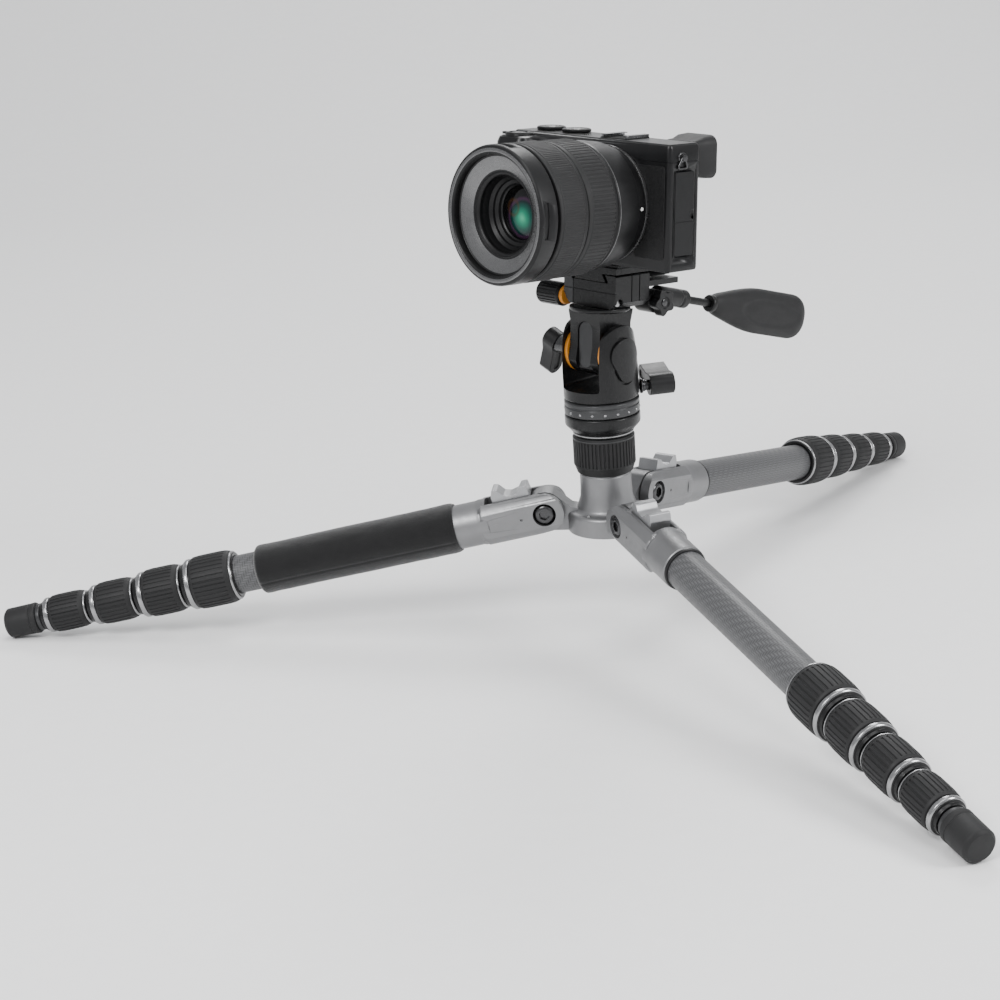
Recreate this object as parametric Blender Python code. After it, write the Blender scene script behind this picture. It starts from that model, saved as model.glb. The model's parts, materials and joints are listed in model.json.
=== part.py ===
"""A mirrorless camera on a low travel tripod with a pan and tilt head.

Metres, +Z up. The lens looks along -Y. The origin is the middle of the footprint, on the ground.
Everything hangs from a few frames: the hub, one frame for each leg at its pivot, the pan axis, the tilt
axis and the camera's own frame at the front lower edge of its body.
"""
import math

import bmesh
import bpy
from mathutils import Matrix, Vector

MM = 0.001

# ---------------------------------------------------------------- clearances
GAP = 0.3 * MM                   # between pieces that touch
RUN_GAP = 0.5 * MM               # between pieces that slide or turn on each other

# ---------------------------------------------------------------- legs
LEG_AZIMUTHS = {"left": -138.15, "front": -18.15, "back": 101.85}
LEG_LENGTH = 326 * MM            # pivot to the end of the foot
LEG_DROOP = math.radians(10.85)  # below level, resting on the low angle stop
PIVOT_RADIUS = 34.5 * MM         # pivot axis from the column axis
YOKE_WIDTH = 25 * MM
YOKE_HEIGHT = 23 * MM
YOKE_KNUCKLE = 11 * MM
YOKE_CORNER = 14.3 * MM          # radius that trims the yoke's corners
YOKE_STEP = 36 * MM              # where the block becomes the round sleeve
SLEEVE_RADIUS = 12.6 * MM
SLEEVE_END = 56 * MM
TONGUE_WIDTH = 12.6 * MM
TONGUE_KNUCKLE = 11.4 * MM
SLOT_BOTTOM = 16 * MM            # how far the open slot runs past the pivot on the underside
STOP_FROM = 6 * MM
STOP_TO = 28 * MM
STOP_TRAVEL = 4 * MM
STOP_TOP = 18.7 * MM             # above the leg axis
STOP_SADDLE = 13.4 * MM
STOP_FLOOR = 3 * MM
STOP_SLOT_FLOOR = 2.2 * MM
BOLT_RADIUS = 3.2 * MM
BOLT_HEAD = 5.5 * MM
BOLT_HEAD_THICK = 2.2 * MM
BOLT_RECESS = 6.5 * MM
BOLT_RECESS_DEPTH = 2.6 * MM

TUBE_RADII = [11.0 * MM, 9.5 * MM, 8.2 * MM, 6.9 * MM, 5.6 * MM]
TUBE_WALL = 0.8 * MM
TUBE_TOPS = [40 * MM, 42 * MM, 46 * MM, 50 * MM, 54 * MM]
LOCK_RADII = [15.5 * MM, 14.0 * MM, 12.4 * MM, 11.0 * MM]
LOCK_FROM = 183 * MM
LOCK_LENGTHS = [32 * MM, 29.5 * MM, 29.5 * MM, 29.5 * MM]
LOCK_SEAT = 0.55                 # share of a lock that its own tube reaches into
FOOT_RADIUS = 8.75 * MM
FOOT_CHAMFER = 1.6 * MM
FOAM_RADIUS = 14.25 * MM
FOAM_FROM = 51.5 * MM
FOAM_TO = 170 * MM

# ---------------------------------------------------------------- hub and column (heights from the ground)

HUB_BOTTOM = 57.6 * MM
HUB_PLATE = 11.7 * MM
HUB_PLATE_RADIUS = 22.5 * MM
HUB_NECK_TOP = 90.8 * MM
HUB_NECK_RADIUS = 14.4 * MM
HUB_NECK_FOOT = 16.4 * MM
HUB_COLLAR_RADIUS = 13.9 * MM
HUB_COLLAR_TOP = 107.2 * MM
COLUMN_RADIUS = 11.6 * MM
COLUMN_WALL = 1.5 * MM
COLUMN_BOTTOM = 59 * MM
LOCK_BASE = 91.2 * MM
LOCK_TOP = 113.2 * MM
COLUMN_LOCK_RADIUS = 17.3 * MM
TRIM_RADIUS = 16.8 * MM
TOP_PLATE_RADIUS = 21 * MM
TOP_PLATE_FROM = 116.1 * MM
TOP_PLATE_TO = 125.4 * MM

# ---------------------------------------------------------------- pan and tilt head
HEAD_RADIUS = 20.8 * MM
PAN_BASE_TOP = 134 * MM
SPINDLE_RADIUS = 8 * MM
SPINDLE_HEIGHT = 4 * MM
NOTCH_FLOOR = 140.7 * MM
NOTCH_HALF = 14.3 * MM
TILT_HEIGHT = 159.7 * MM
TILT_REST = math.radians(5.15)   # nose up
CHEEK_RADIUS = 16.2 * MM
CAP_RADIUS = 11.5 * MM
CAP_STANDS = 1.2 * MM
NECK_WIDTH = 23 * MM
NECK_KNUCKLE = 13.2 * MM
NECK_FRONT = 11 * MM
NECK_BACK = 12.5 * MM
NECK_TOP = 185.1 * MM
FLANGE_RADIUS = 16.8 * MM
FLANGE_THICK = 2.6 * MM
TILT_SHAFT = 4 * MM
TILT_KNOB_REACH = 31 * MM        # where the wing starts, from the middle of the head
PAN_KNOB_AZIMUTH = math.radians(60)
PAN_KNOB_HEIGHT = 137.2 * MM
PAN_KNOB_REACH = 27 * MM
PAN_SCREW = 1.6 * MM
WING_LENGTH = 21 * MM
WING_WIDTH = 12 * MM
TILT_WING_THICK = 8.5 * MM
TILT_WING_FLARE = math.radians(24)
PAN_WING_THICK = 14 * MM

CLAMP_WIDTH = 40 * MM
CLAMP_FRONT = -8 * MM
CLAMP_DEPTH = 26 * MM
CLAMP_FROM = 185.4 * MM
CLAMP_BED = 199.2 * MM
CLAMP_LIP = 203.6 * MM
SHELF_FROM = 195.7 * MM          # the shelf that runs back over the handle
SHELF_BACK = 41 * MM
JAW_THICK = 7.5 * MM
CLAMP_SCREW_HEIGHT = 188.6 * MM
CLAMP_SCREW_Y = -4.4 * MM
CLAMP_SCREW_RADIUS = 2.0 * MM
CLAMP_KNOB_RADIUS = 6.6 * MM
CLAMP_KNOB_LENGTH = 20 * MM
PLATE_WIDTH = 40 * MM
PLATE_FRONT = -8 * MM
PLATE_LENGTH = 50 * MM
PLATE_TOP = 209.4 * MM
PLATE_THICK = 5.5 * MM
DOVETAIL_HALF = 12.2 * MM        # half width of the plate's dovetail at its foot
DOVETAIL_DEPTH = 4.6 * MM

HANDLE_X = 12 * MM
HANDLE_Y = 26 * MM
HANDLE_Z = 186.5 * MM
HANDLE_DROOP = math.radians(12.5)
HANDLE_SOCKET_RADIUS = 6.5 * MM
HANDLE_SOCKET_HALF = 6 * MM
HANDLE_BARREL = 5.2 * MM
HANDLE_BARREL_END = 29 * MM
HANDLE_LIFT = 3.6 * MM             # rod axis above the hinge axis
HANDLE_SCREW = 2 * MM
HANDLE_ROD = 2.2 * MM
HANDLE_ROD_END = 66.5 * MM
GRIP_FROM = 50 * MM
GRIP_LENGTH = 81 * MM
GRIP_WIDTH = 26 * MM
GRIP_THICK = 15 * MM
STAR_RADIUS = 7.5 * MM
STAR_THICK = 6.5 * MM

# ---------------------------------------------------------------- camera
BODY_WIDTH = 120 * MM
BODY_HEIGHT = 66.9 * MM
BODY_DEPTH = 23.5 * MM
BODY_CORNER = 2.5 * MM
BODY_MIDDLE = -1.5 * MM          # from the column axis
BODY_FRONT = -8.75 * MM
BODY_BOTTOM = PLATE_TOP + GAP
GRIP_BULGE = 15 * MM
GRIP_SPAN = 23 * MM
LENS_OFFSET = 15 * MM            # lens axis from the middle of the body
LENS_HEIGHT = 33 * MM
LENS_REACH = 82 * MM
LENS_RADIUS = 36.2 * MM
MOUNT_RADIUS = 31 * MM
MOUNT_LENGTH = 8 * MM
REAR_BARREL = 33.2 * MM
REAR_BARREL_TO = 26 * MM
CORE_RADIUS = 27 * MM
CORE_TO = 70 * MM
ZOOM_FROM = 26.4 * MM
ZOOM_TO = 48 * MM
FOCUS_TO = 68 * MM
SCREEN_WIDTH = 74 * MM
SCREEN_HEIGHT = 50 * MM
SCREEN_THICK = 4.5 * MM
CUP_WIDTH = 26 * MM
CUP_HEIGHT = 23 * MM
CUP_DEPTH = 16.5 * MM
CUP_ABOVE = 2.5 * MM               # how far the cup stands over the top of the body
DIAL_RADIUS = 8 * MM
DIAL_HEIGHT = 1.8 * MM
BUTTON_RADIUS = 4.6 * MM
BUTTON_TRAVEL = 0.8 * MM

# ---------------------------------------------------------------- worked out
FOOT_CONTACT = LEG_LENGTH - FOOT_CHAMFER
PIVOT_HEIGHT = FOOT_CONTACT * math.sin(LEG_DROOP) + FOOT_RADIUS * math.cos(LEG_DROOP)
SMALL = 16                       # sides of a pin or a hole for one
ROUND = 18                       # sides of a round piece
FINE = 32                        # sides of a large round piece


# ---------------------------------------------------------------- modelling helpers
def clear_scene():
    for item in list(bpy.data.objects):
        bpy.data.objects.remove(item)


def finish_colour(name, colour, rough, metal=0.0):
    """One Principled material for one named piece."""
    mat = bpy.data.materials.new(name)
    mat.use_nodes = True
    shader = mat.node_tree.nodes["Principled BSDF"]
    shader.inputs["Base Color"].default_value = (*colour, 1)
    shader.inputs["Roughness"].default_value = rough
    shader.inputs["Metallic"].default_value = metal
    return mat


GREY_METAL = ((0.30, 0.30, 0.31), 0.38, 1.0)
SILVER = ((0.62, 0.62, 0.63), 0.25, 1.0)
CARBON = ((0.06, 0.06, 0.065), 0.35, 0.2)
RUBBER = ((0.03, 0.03, 0.032), 0.75, 0.0)
FOAM = ((0.012, 0.012, 0.013), 0.95, 0.0)
BLACK_METAL = ((0.045, 0.045, 0.048), 0.35, 0.8)
BLACK_PLASTIC = ((0.035, 0.035, 0.037), 0.5, 0.0)
GLASS = ((0.02, 0.10, 0.07), 0.05, 0.0)
SCREEN = ((0.01, 0.01, 0.012), 0.1, 0.0)


def empty(name, matrix, parent=None):
    item = bpy.data.objects.new(name, None)
    bpy.context.collection.objects.link(item)
    item.parent = parent
    item.matrix_local = matrix
    return item


def piece(name, mesh, parent, finish, matrix=None):
    """A named solid under a frame, with its own material and smooth round faces."""
    mesh.shade_smooth()
    mesh.set_sharp_from_angle(angle=math.radians(35))
    item = bpy.data.objects.new(name, mesh)
    bpy.context.collection.objects.link(item)
    item.parent = parent
    if matrix is not None:
        item.matrix_local = matrix
    item.data.materials.append(finish_colour(name, *finish))
    return item


def tool(name, mesh, parent, matrix=None):
    """A guide solid for a Boolean. It isn't part of the object."""
    item = bpy.data.objects.new(name, mesh)
    bpy.context.collection.objects.link(item)
    item.parent = parent
    if matrix is not None:
        item.matrix_local = matrix
    item.hide_render = True
    item.display_type = "WIRE"
    return item


def combine(target, other, operation):
    step = target.modifiers.new(f"{operation.lower()} {other.name}", "BOOLEAN")
    step.operation = operation
    step.object = other
    step.solver = "EXACT"


def to_mesh(name, bm):
    bmesh.ops.recalc_face_normals(bm, faces=bm.faces)
    mesh = bpy.data.meshes.new(name)
    bm.to_mesh(mesh)
    bm.free()
    return mesh


def lathe(name, profile, sides=ROUND):
    """Turn a closed profile of (radius, height) points round Z. Points on the axis close it."""
    bm = bmesh.new()
    rings = []
    for radius, height in profile:
        if radius < 1e-9:
            rings.append([bm.verts.new((0, 0, height))])
            continue
        turn = 2 * math.pi / sides
        rings.append([bm.verts.new((radius * math.cos(turn * k), radius * math.sin(turn * k), height))
                      for k in range(sides)])
    hollow = len(rings[0]) > 1 and len(rings[-1]) > 1
    pairs = list(zip(rings, rings[1:] + rings[:1])) if hollow else list(zip(rings, rings[1:]))
    for low, high in pairs:
        for k in range(sides):
            n = (k + 1) % sides
            if len(low) == 1 and len(high) == 1:
                continue
            if len(low) == 1:
                bm.faces.new((low[0], high[k], high[n]))
            elif len(high) == 1:
                bm.faces.new((low[k], low[n], high[0]))
            else:
                bm.faces.new((low[k], low[n], high[n], high[k]))
    return to_mesh(name, bm)


def prism(name, outline, low, high, bevel=0.0):
    """Extrude an outline of (x, y) points along Z from low to high."""
    bm = bmesh.new()
    face = bm.faces.new([bm.verts.new((x, y, low)) for x, y in outline])
    grown = bmesh.ops.extrude_face_region(bm, geom=[face])
    top = [v for v in grown["geom"] if isinstance(v, bmesh.types.BMVert)]
    bmesh.ops.translate(bm, verts=top, vec=(0, 0, high - low))
    if bevel:
        rims = [e for e in bm.edges if abs(e.verts[0].co.z - e.verts[1].co.z) < 1e-9]
        bmesh.ops.bevel(bm, geom=rims, offset=bevel, segments=2, affect="EDGES", profile=0.5)
    return to_mesh(name, bm)


def block(name, low, high, bevel=0.0):
    """A box between two corners, with rounded edges if bevel is given."""
    bm = bmesh.new()
    bmesh.ops.create_cube(bm, size=1)
    size = Vector(high) - Vector(low)
    middle = (Vector(high) + Vector(low)) / 2
    bmesh.ops.scale(bm, vec=size, verts=bm.verts)
    bmesh.ops.translate(bm, vec=middle, verts=bm.verts)
    if bevel:
        bmesh.ops.bevel(bm, geom=list(bm.edges), offset=bevel, segments=2, affect="EDGES", profile=0.5)
    return to_mesh(name, bm)


def arc(cx, cy, radius, start, end, steps):
    """Points along an arc, in degrees, both ends included."""
    return [(cx + radius * math.cos(math.radians(start + (end - start) * k / steps)),
             cy + radius * math.sin(math.radians(start + (end - start) * k / steps)))
            for k in range(steps + 1)]


def round_rect(x0, y0, x1, y1, radius, steps=5):
    """The outline of a rectangle with round corners."""
    r = radius
    return (arc(x1 - r, y0 + r, r, -90, 0, steps) + arc(x1 - r, y1 - r, r, 0, 90, steps)
            + arc(x0 + r, y1 - r, r, 90, 180, steps) + arc(x0 + r, y0 + r, r, 180, 270, steps))


def move(x=0.0, y=0.0, z=0.0):
    return Matrix.Translation((x, y, z))


def turn(angle, axis):
    return Matrix.Rotation(angle, 4, axis)


# Local Z of a lathe or prism laid along a world direction.
ALONG_X = turn(math.pi / 2, "Y")                                 # Z to +X, X to -Z
ALONG_MINUS_X = turn(-math.pi / 2, "Y")                          # Z to -X, X to +Z
ALONG_Y = turn(math.pi / 2, "Z") @ turn(math.pi / 2, "Y")        # Z to +Y, X to -Z, Y to -X
ALONG_MINUS_Y = turn(-math.pi / 2, "Z") @ turn(math.pi / 2, "Y")  # Z to -Y, X to -Z, Y to +X
# Outlines drawn in a standing plane.
ACROSS = Matrix(((1, 0, 0, 0), (0, 0, -1, 0), (0, 1, 0, 0), (0, 0, 0, 1)))   # x to X, y to Z, depth to -Y
SIDEWAYS = Matrix(((0, 0, 1, 0), (1, 0, 0, 0), (0, 1, 0, 0), (0, 0, 0, 1)))  # x to Y, y to Z, depth to X


# ---------------------------------------------------------------- hub and column
def build_hub(root):
    plate_top = HUB_BOTTOM + HUB_PLATE
    bore = COLUMN_RADIUS + RUN_GAP
    profile = [
        (0, HUB_BOTTOM), (HUB_PLATE_RADIUS - 1 * MM, HUB_BOTTOM), (HUB_PLATE_RADIUS, HUB_BOTTOM + 1 * MM),
        (HUB_PLATE_RADIUS, plate_top - 1 * MM), (HUB_PLATE_RADIUS - 1 * MM, plate_top),
        (HUB_NECK_FOOT + 1.2 * MM, plate_top), (HUB_NECK_FOOT, plate_top + 2 * MM),
        (HUB_NECK_RADIUS, plate_top + 10 * MM), (HUB_NECK_RADIUS, HUB_NECK_TOP),
        (HUB_COLLAR_RADIUS, HUB_NECK_TOP), (HUB_COLLAR_RADIUS, HUB_COLLAR_TOP), (0, HUB_COLLAR_TOP),
    ]
    hub = piece("hub", lathe("hub", profile, FINE), root, GREY_METAL)
    half = TONGUE_WIDTH / 2
    for side, azimuth in LEG_AZIMUTHS.items():
        frame = turn(math.radians(azimuth), "Z")
        pivot = move(PIVOT_RADIUS, 0, PIVOT_HEIGHT)
        arm_half = half - 0.4 * MM
        arm_low = (COLUMN_RADIUS + 4 * MM, -arm_half, HUB_BOTTOM + 0.6 * MM)
        arm_high = (PIVOT_RADIUS - 1 * MM, arm_half, plate_top - 0.4 * MM)
        arm = tool(f"{side} arm", block(f"{side} arm", arm_low, arm_high), root, frame)
        knuckle_mesh = lathe(f"{side} tongue", [(0, -half), (TONGUE_KNUCKLE, -half),
                                                (TONGUE_KNUCKLE, half),
                                                (0, half)])
        knuckle = tool(f"{side} tongue", knuckle_mesh, root, frame @ pivot @ ALONG_Y)
        web_half = arm_half - 0.4 * MM
        web = prism(f"{side} web", [(HUB_NECK_FOOT - 3 * MM, HUB_BOTTOM + 3 * MM),
                                    (PIVOT_RADIUS - 3 * MM, HUB_BOTTOM + 3 * MM),
                                    (PIVOT_RADIUS - 3 * MM, plate_top + 5 * MM),
                                    (HUB_NECK_FOOT - 3 * MM, plate_top - 1 * MM)], -web_half, web_half)
        web_item = tool(f"{side} web", web, root, frame @ turn(math.pi / 2, "X"))
        hole_mesh = lathe(f"{side} pivot hole", [(0, -YOKE_WIDTH), (BOLT_RADIUS + RUN_GAP, -YOKE_WIDTH),
                                                 (BOLT_RADIUS + RUN_GAP, YOKE_WIDTH), (0, YOKE_WIDTH)],
                                                 SMALL)
        hole = tool(f"{side} pivot hole", hole_mesh, root, frame @ pivot @ ALONG_Y)
        combine(hub, arm, "UNION")
        combine(hub, web_item, "UNION")
        combine(hub, knuckle, "UNION")
        combine(hub, hole, "DIFFERENCE")
    # The column's bore comes last, so that it is clear of the arms too.
    bore_mesh = lathe("column bore", [(0, 0), (bore, 0), (bore, HUB_COLLAR_TOP * 2),
                                      (0, HUB_COLLAR_TOP * 2)],
                      FINE)
    combine(hub, tool("column bore", bore_mesh, root), "DIFFERENCE")
    return hub


def build_column(root):
    collar_bore = HUB_COLLAR_RADIUS + RUN_GAP
    inner = COLUMN_RADIUS + RUN_GAP
    lock_profile = [
        (collar_bore, LOCK_BASE), (HUB_NECK_RADIUS + 0.4 * MM, LOCK_BASE),
        (COLUMN_LOCK_RADIUS, LOCK_BASE + 5 * MM),
        (COLUMN_LOCK_RADIUS, LOCK_TOP - 1 * MM), (COLUMN_LOCK_RADIUS - 0.8 * MM, LOCK_TOP),
        (inner, LOCK_TOP),
        (inner, HUB_COLLAR_TOP + GAP), (collar_bore, HUB_COLLAR_TOP + GAP),
    ]
    piece("column_lock", lathe("column_lock", lock_profile, FINE), root, RUBBER)
    trim_from = LOCK_TOP + GAP
    hollow = COLUMN_RADIUS - COLUMN_WALL
    column_profile = [
        (hollow, COLUMN_BOTTOM), (COLUMN_RADIUS, COLUMN_BOTTOM), (COLUMN_RADIUS, trim_from),
        (TRIM_RADIUS, trim_from), (TRIM_RADIUS, TOP_PLATE_FROM),
        (TOP_PLATE_RADIUS - 3.2 * MM, TOP_PLATE_FROM),
        (TOP_PLATE_RADIUS, TOP_PLATE_FROM + 3.6 * MM), (TOP_PLATE_RADIUS, TOP_PLATE_TO - 0.5 * MM),
        (TOP_PLATE_RADIUS - 0.5 * MM, TOP_PLATE_TO), (0, TOP_PLATE_TO), (0, trim_from - 2 * MM),
        (hollow, trim_from - 2 * MM),
    ]
    profile = column_profile[9::-1] + column_profile[:9:-1]
    piece("column", lathe("column", profile, FINE), root, BLACK_METAL)


# ---------------------------------------------------------------- legs
def lock_spans():
    """Where each lock starts and ends along the leg."""
    spans = []
    start = LOCK_FROM
    for length in LOCK_LENGTHS:
        spans.append((start, start + length))
        start += length
    return spans


def yoke_outline():
    """Side view of the yoke: x up, y along the leg, round at the pivot."""
    top = YOKE_HEIGHT / 2
    return arc(0, 0, YOKE_KNUCKLE, 180, 360, 14) + [(top, YOKE_KNUCKLE), (top, YOKE_STEP),
                                                    (-top, YOKE_STEP),
                                                    (-top, YOKE_KNUCKLE)]


def stop_outline():
    """Side view of the angle stop: two horns with a saddle between, and a pawl under them."""
    nose = TONGUE_KNUCKLE + RUN_GAP
    step = STOP_FROM + 7 * MM
    # The nose stands on the circle of the tongue.
    nose_floor = math.sqrt(nose ** 2 - STOP_FROM ** 2) + GAP
    middle = (STOP_TO + STOP_FROM) / 2
    low_horn = STOP_TOP - 1.4 * MM
    saddle = [(STOP_TOP - 0.6 * MM, STOP_TO - 4.2 * MM), (STOP_SADDLE + 0.8 * MM, STOP_TO - 7.5 * MM),
              (STOP_SADDLE, middle), (STOP_SADDLE + 0.9 * MM, STOP_FROM + 7 * MM),
              (low_horn, STOP_FROM + 4.6 * MM), (low_horn, STOP_FROM + 1 * MM)]
    return [(nose_floor, STOP_FROM), (nose_floor, step), (STOP_FLOOR, step),
            (STOP_FLOOR, STOP_TO - 1 * MM),
            (STOP_TOP - 4 * MM, STOP_TO), (STOP_TOP, STOP_TO - 1.4 * MM)] + saddle


def build_leg_upper(side, frame):
    half = YOKE_WIDTH / 2
    spans = lock_spans()
    seat = spans[0][0] + LOCK_SEAT * LOCK_LENGTHS[0]
    bore = TUBE_RADII[1] + RUN_GAP
    name = f"leg_{side}_upper"
    profile = [
        (bore, TUBE_TOPS[0]), (bore, seat), (TUBE_RADII[0], seat), (TUBE_RADII[0], SLEEVE_END),
        (SLEEVE_RADIUS, SLEEVE_END), (SLEEVE_RADIUS, YOKE_STEP - 12 * MM), (0, YOKE_STEP - 12 * MM),
        (0, TUBE_TOPS[0]),
    ]
    profile = profile[6::-1] + [profile[7]]
    upper = piece(name, lathe(name, profile, ROUND), frame, GREY_METAL)
    yoke = tool(f"{name} yoke", prism(f"{name} yoke", yoke_outline(), -half, half), frame, ACROSS)
    trim_mesh = lathe(f"{name} trim", [(0, -40 * MM), (YOKE_CORNER, -40 * MM), (YOKE_CORNER, 80 * MM),
                                       (0, 80 * MM)], FINE)
    trim = tool(f"{name} trim", trim_mesh, frame)
    combine(yoke, trim, "INTERSECT")
    combine(upper, yoke, "UNION")
    slot_half = TONGUE_WIDTH / 2 + RUN_GAP
    deep = 30 * MM
    slot = block(f"{name} slot", (-deep, -slot_half, -deep), (deep, slot_half, SLOT_BOTTOM))
    combine(upper, tool(f"{name} slot", slot, frame), "DIFFERENCE")
    stop_end = STOP_TO + STOP_TRAVEL + RUN_GAP
    stop_slot = block(f"{name} stop slot", (STOP_SLOT_FLOOR, -slot_half, 0), (deep, slot_half, stop_end))
    combine(upper, tool(f"{name} stop slot", stop_slot, frame), "DIFFERENCE")
    recess = half - BOLT_RECESS_DEPTH
    hole = BOLT_RADIUS + GAP
    pin_mesh = lathe(f"{name} bolt hole", [(0, -deep), (BOLT_RECESS, -deep), (BOLT_RECESS, -recess),
                                           (hole, -recess),
                                           (hole, recess), (BOLT_RECESS, recess), (BOLT_RECESS, deep),
                                           (0, deep)],
                     SMALL)
    combine(upper, tool(f"{name} bolt hole", pin_mesh, frame, ALONG_Y), "DIFFERENCE")


def build_leg(side, azimuth, root):
    place = (turn(math.radians(azimuth), "Z") @ move(PIVOT_RADIUS, 0, PIVOT_HEIGHT)
             @ turn(math.pi / 2 + LEG_DROOP, "Y") @ turn(math.pi, "Z"))
    frame = empty(f"leg {side} frame", place, root)     # X up, Y across, Z along the leg
    build_leg_upper(side, frame)

    half = YOKE_WIDTH / 2
    stop_half = TONGUE_WIDTH / 2
    name = f"leg_{side}_stop"
    piece(name, prism(name, stop_outline(), -stop_half, stop_half), frame, SILVER, ACROSS)

    name = f"leg_{side}_bolt"
    inside = half - BOLT_RECESS_DEPTH + GAP
    outside = inside + BOLT_HEAD_THICK
    bolt = [(0, -outside), (BOLT_HEAD - 1 * MM, -outside), (BOLT_HEAD, -outside + 0.8 * MM),
            (BOLT_HEAD, -inside),
            (BOLT_RADIUS, -inside), (BOLT_RADIUS, inside), (BOLT_HEAD, inside),
            (BOLT_HEAD, outside - 0.8 * MM),
            (BOLT_HEAD - 1 * MM, outside), (0, outside)]
    piece(name, lathe(name, bolt, SMALL), frame, SILVER, ALONG_Y)

    spans = lock_spans()
    for index, (start, end) in enumerate(spans):
        seat = start + LOCK_SEAT * LOCK_LENGTHS[index]
        wide = TUBE_RADII[index] + RUN_GAP
        narrow = TUBE_RADII[index + 1] + RUN_GAP
        radius = LOCK_RADII[index]
        stop = end - GAP
        begin = start + GAP if index else start
        profile = [
            (wide, begin), (radius - 3.2 * MM, begin), (radius - 2.6 * MM, begin + 3 * MM),
            (radius - 0.4 * MM, begin + 7 * MM), (radius, begin + 12 * MM), (radius, stop - 8 * MM),
            (radius - 1.2 * MM, stop - 6.5 * MM), (radius - 1.2 * MM, stop - 2.4 * MM),
            (radius - 3 * MM, stop), (narrow, stop), (narrow, seat + GAP), (wide, seat + GAP),
        ]
        name = f"leg_{side}_lock_{index + 1}"
        piece(name, lathe(name, profile, SMALL), frame, RUBBER)

    for index in (1, 2, 3):
        seat = spans[index][0] + LOCK_SEAT * LOCK_LENGTHS[index]
        radius = TUBE_RADII[index]
        name = f"leg_{side}_tube_{index + 1}"
        top = TUBE_TOPS[index]
        profile = [(radius - TUBE_WALL, top), (radius, top), (radius, seat), (radius - TUBE_WALL, seat)]
        piece(name, lathe(name, profile, SMALL), frame, CARBON)

    name = f"leg_{side}_tube_5"
    radius = TUBE_RADII[4]
    foot_from = spans[3][1]
    hollow = radius - TUBE_WALL
    profile = [
        (0, LEG_LENGTH), (FOOT_RADIUS - FOOT_CHAMFER, LEG_LENGTH), (FOOT_RADIUS, FOOT_CONTACT),
        (FOOT_RADIUS + 0.3 * MM, foot_from + 1.5 * MM), (FOOT_RADIUS - 0.8 * MM, foot_from),
        (radius, foot_from),
        (radius, TUBE_TOPS[4]), (hollow, TUBE_TOPS[4]), (hollow, foot_from - 10 * MM),
        (0, foot_from - 10 * MM),
    ]
    piece(name, lathe(name, profile, SMALL), frame, RUBBER)

    if side == "left":
        profile = [
            (SLEEVE_RADIUS + GAP, FOAM_FROM), (FOAM_RADIUS - 0.6 * MM, FOAM_FROM),
            (FOAM_RADIUS, FOAM_FROM + 1 * MM),
            (FOAM_RADIUS, FOAM_TO - 1 * MM), (FOAM_RADIUS - 0.6 * MM, FOAM_TO),
            (TUBE_RADII[0] + GAP, FOAM_TO),
            (TUBE_RADII[0] + GAP, SLEEVE_END + GAP), (SLEEVE_RADIUS + GAP, SLEEVE_END + GAP),
        ]
        piece("foam_sleeve", lathe("foam_sleeve", profile, ROUND), frame, FOAM)


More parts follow.
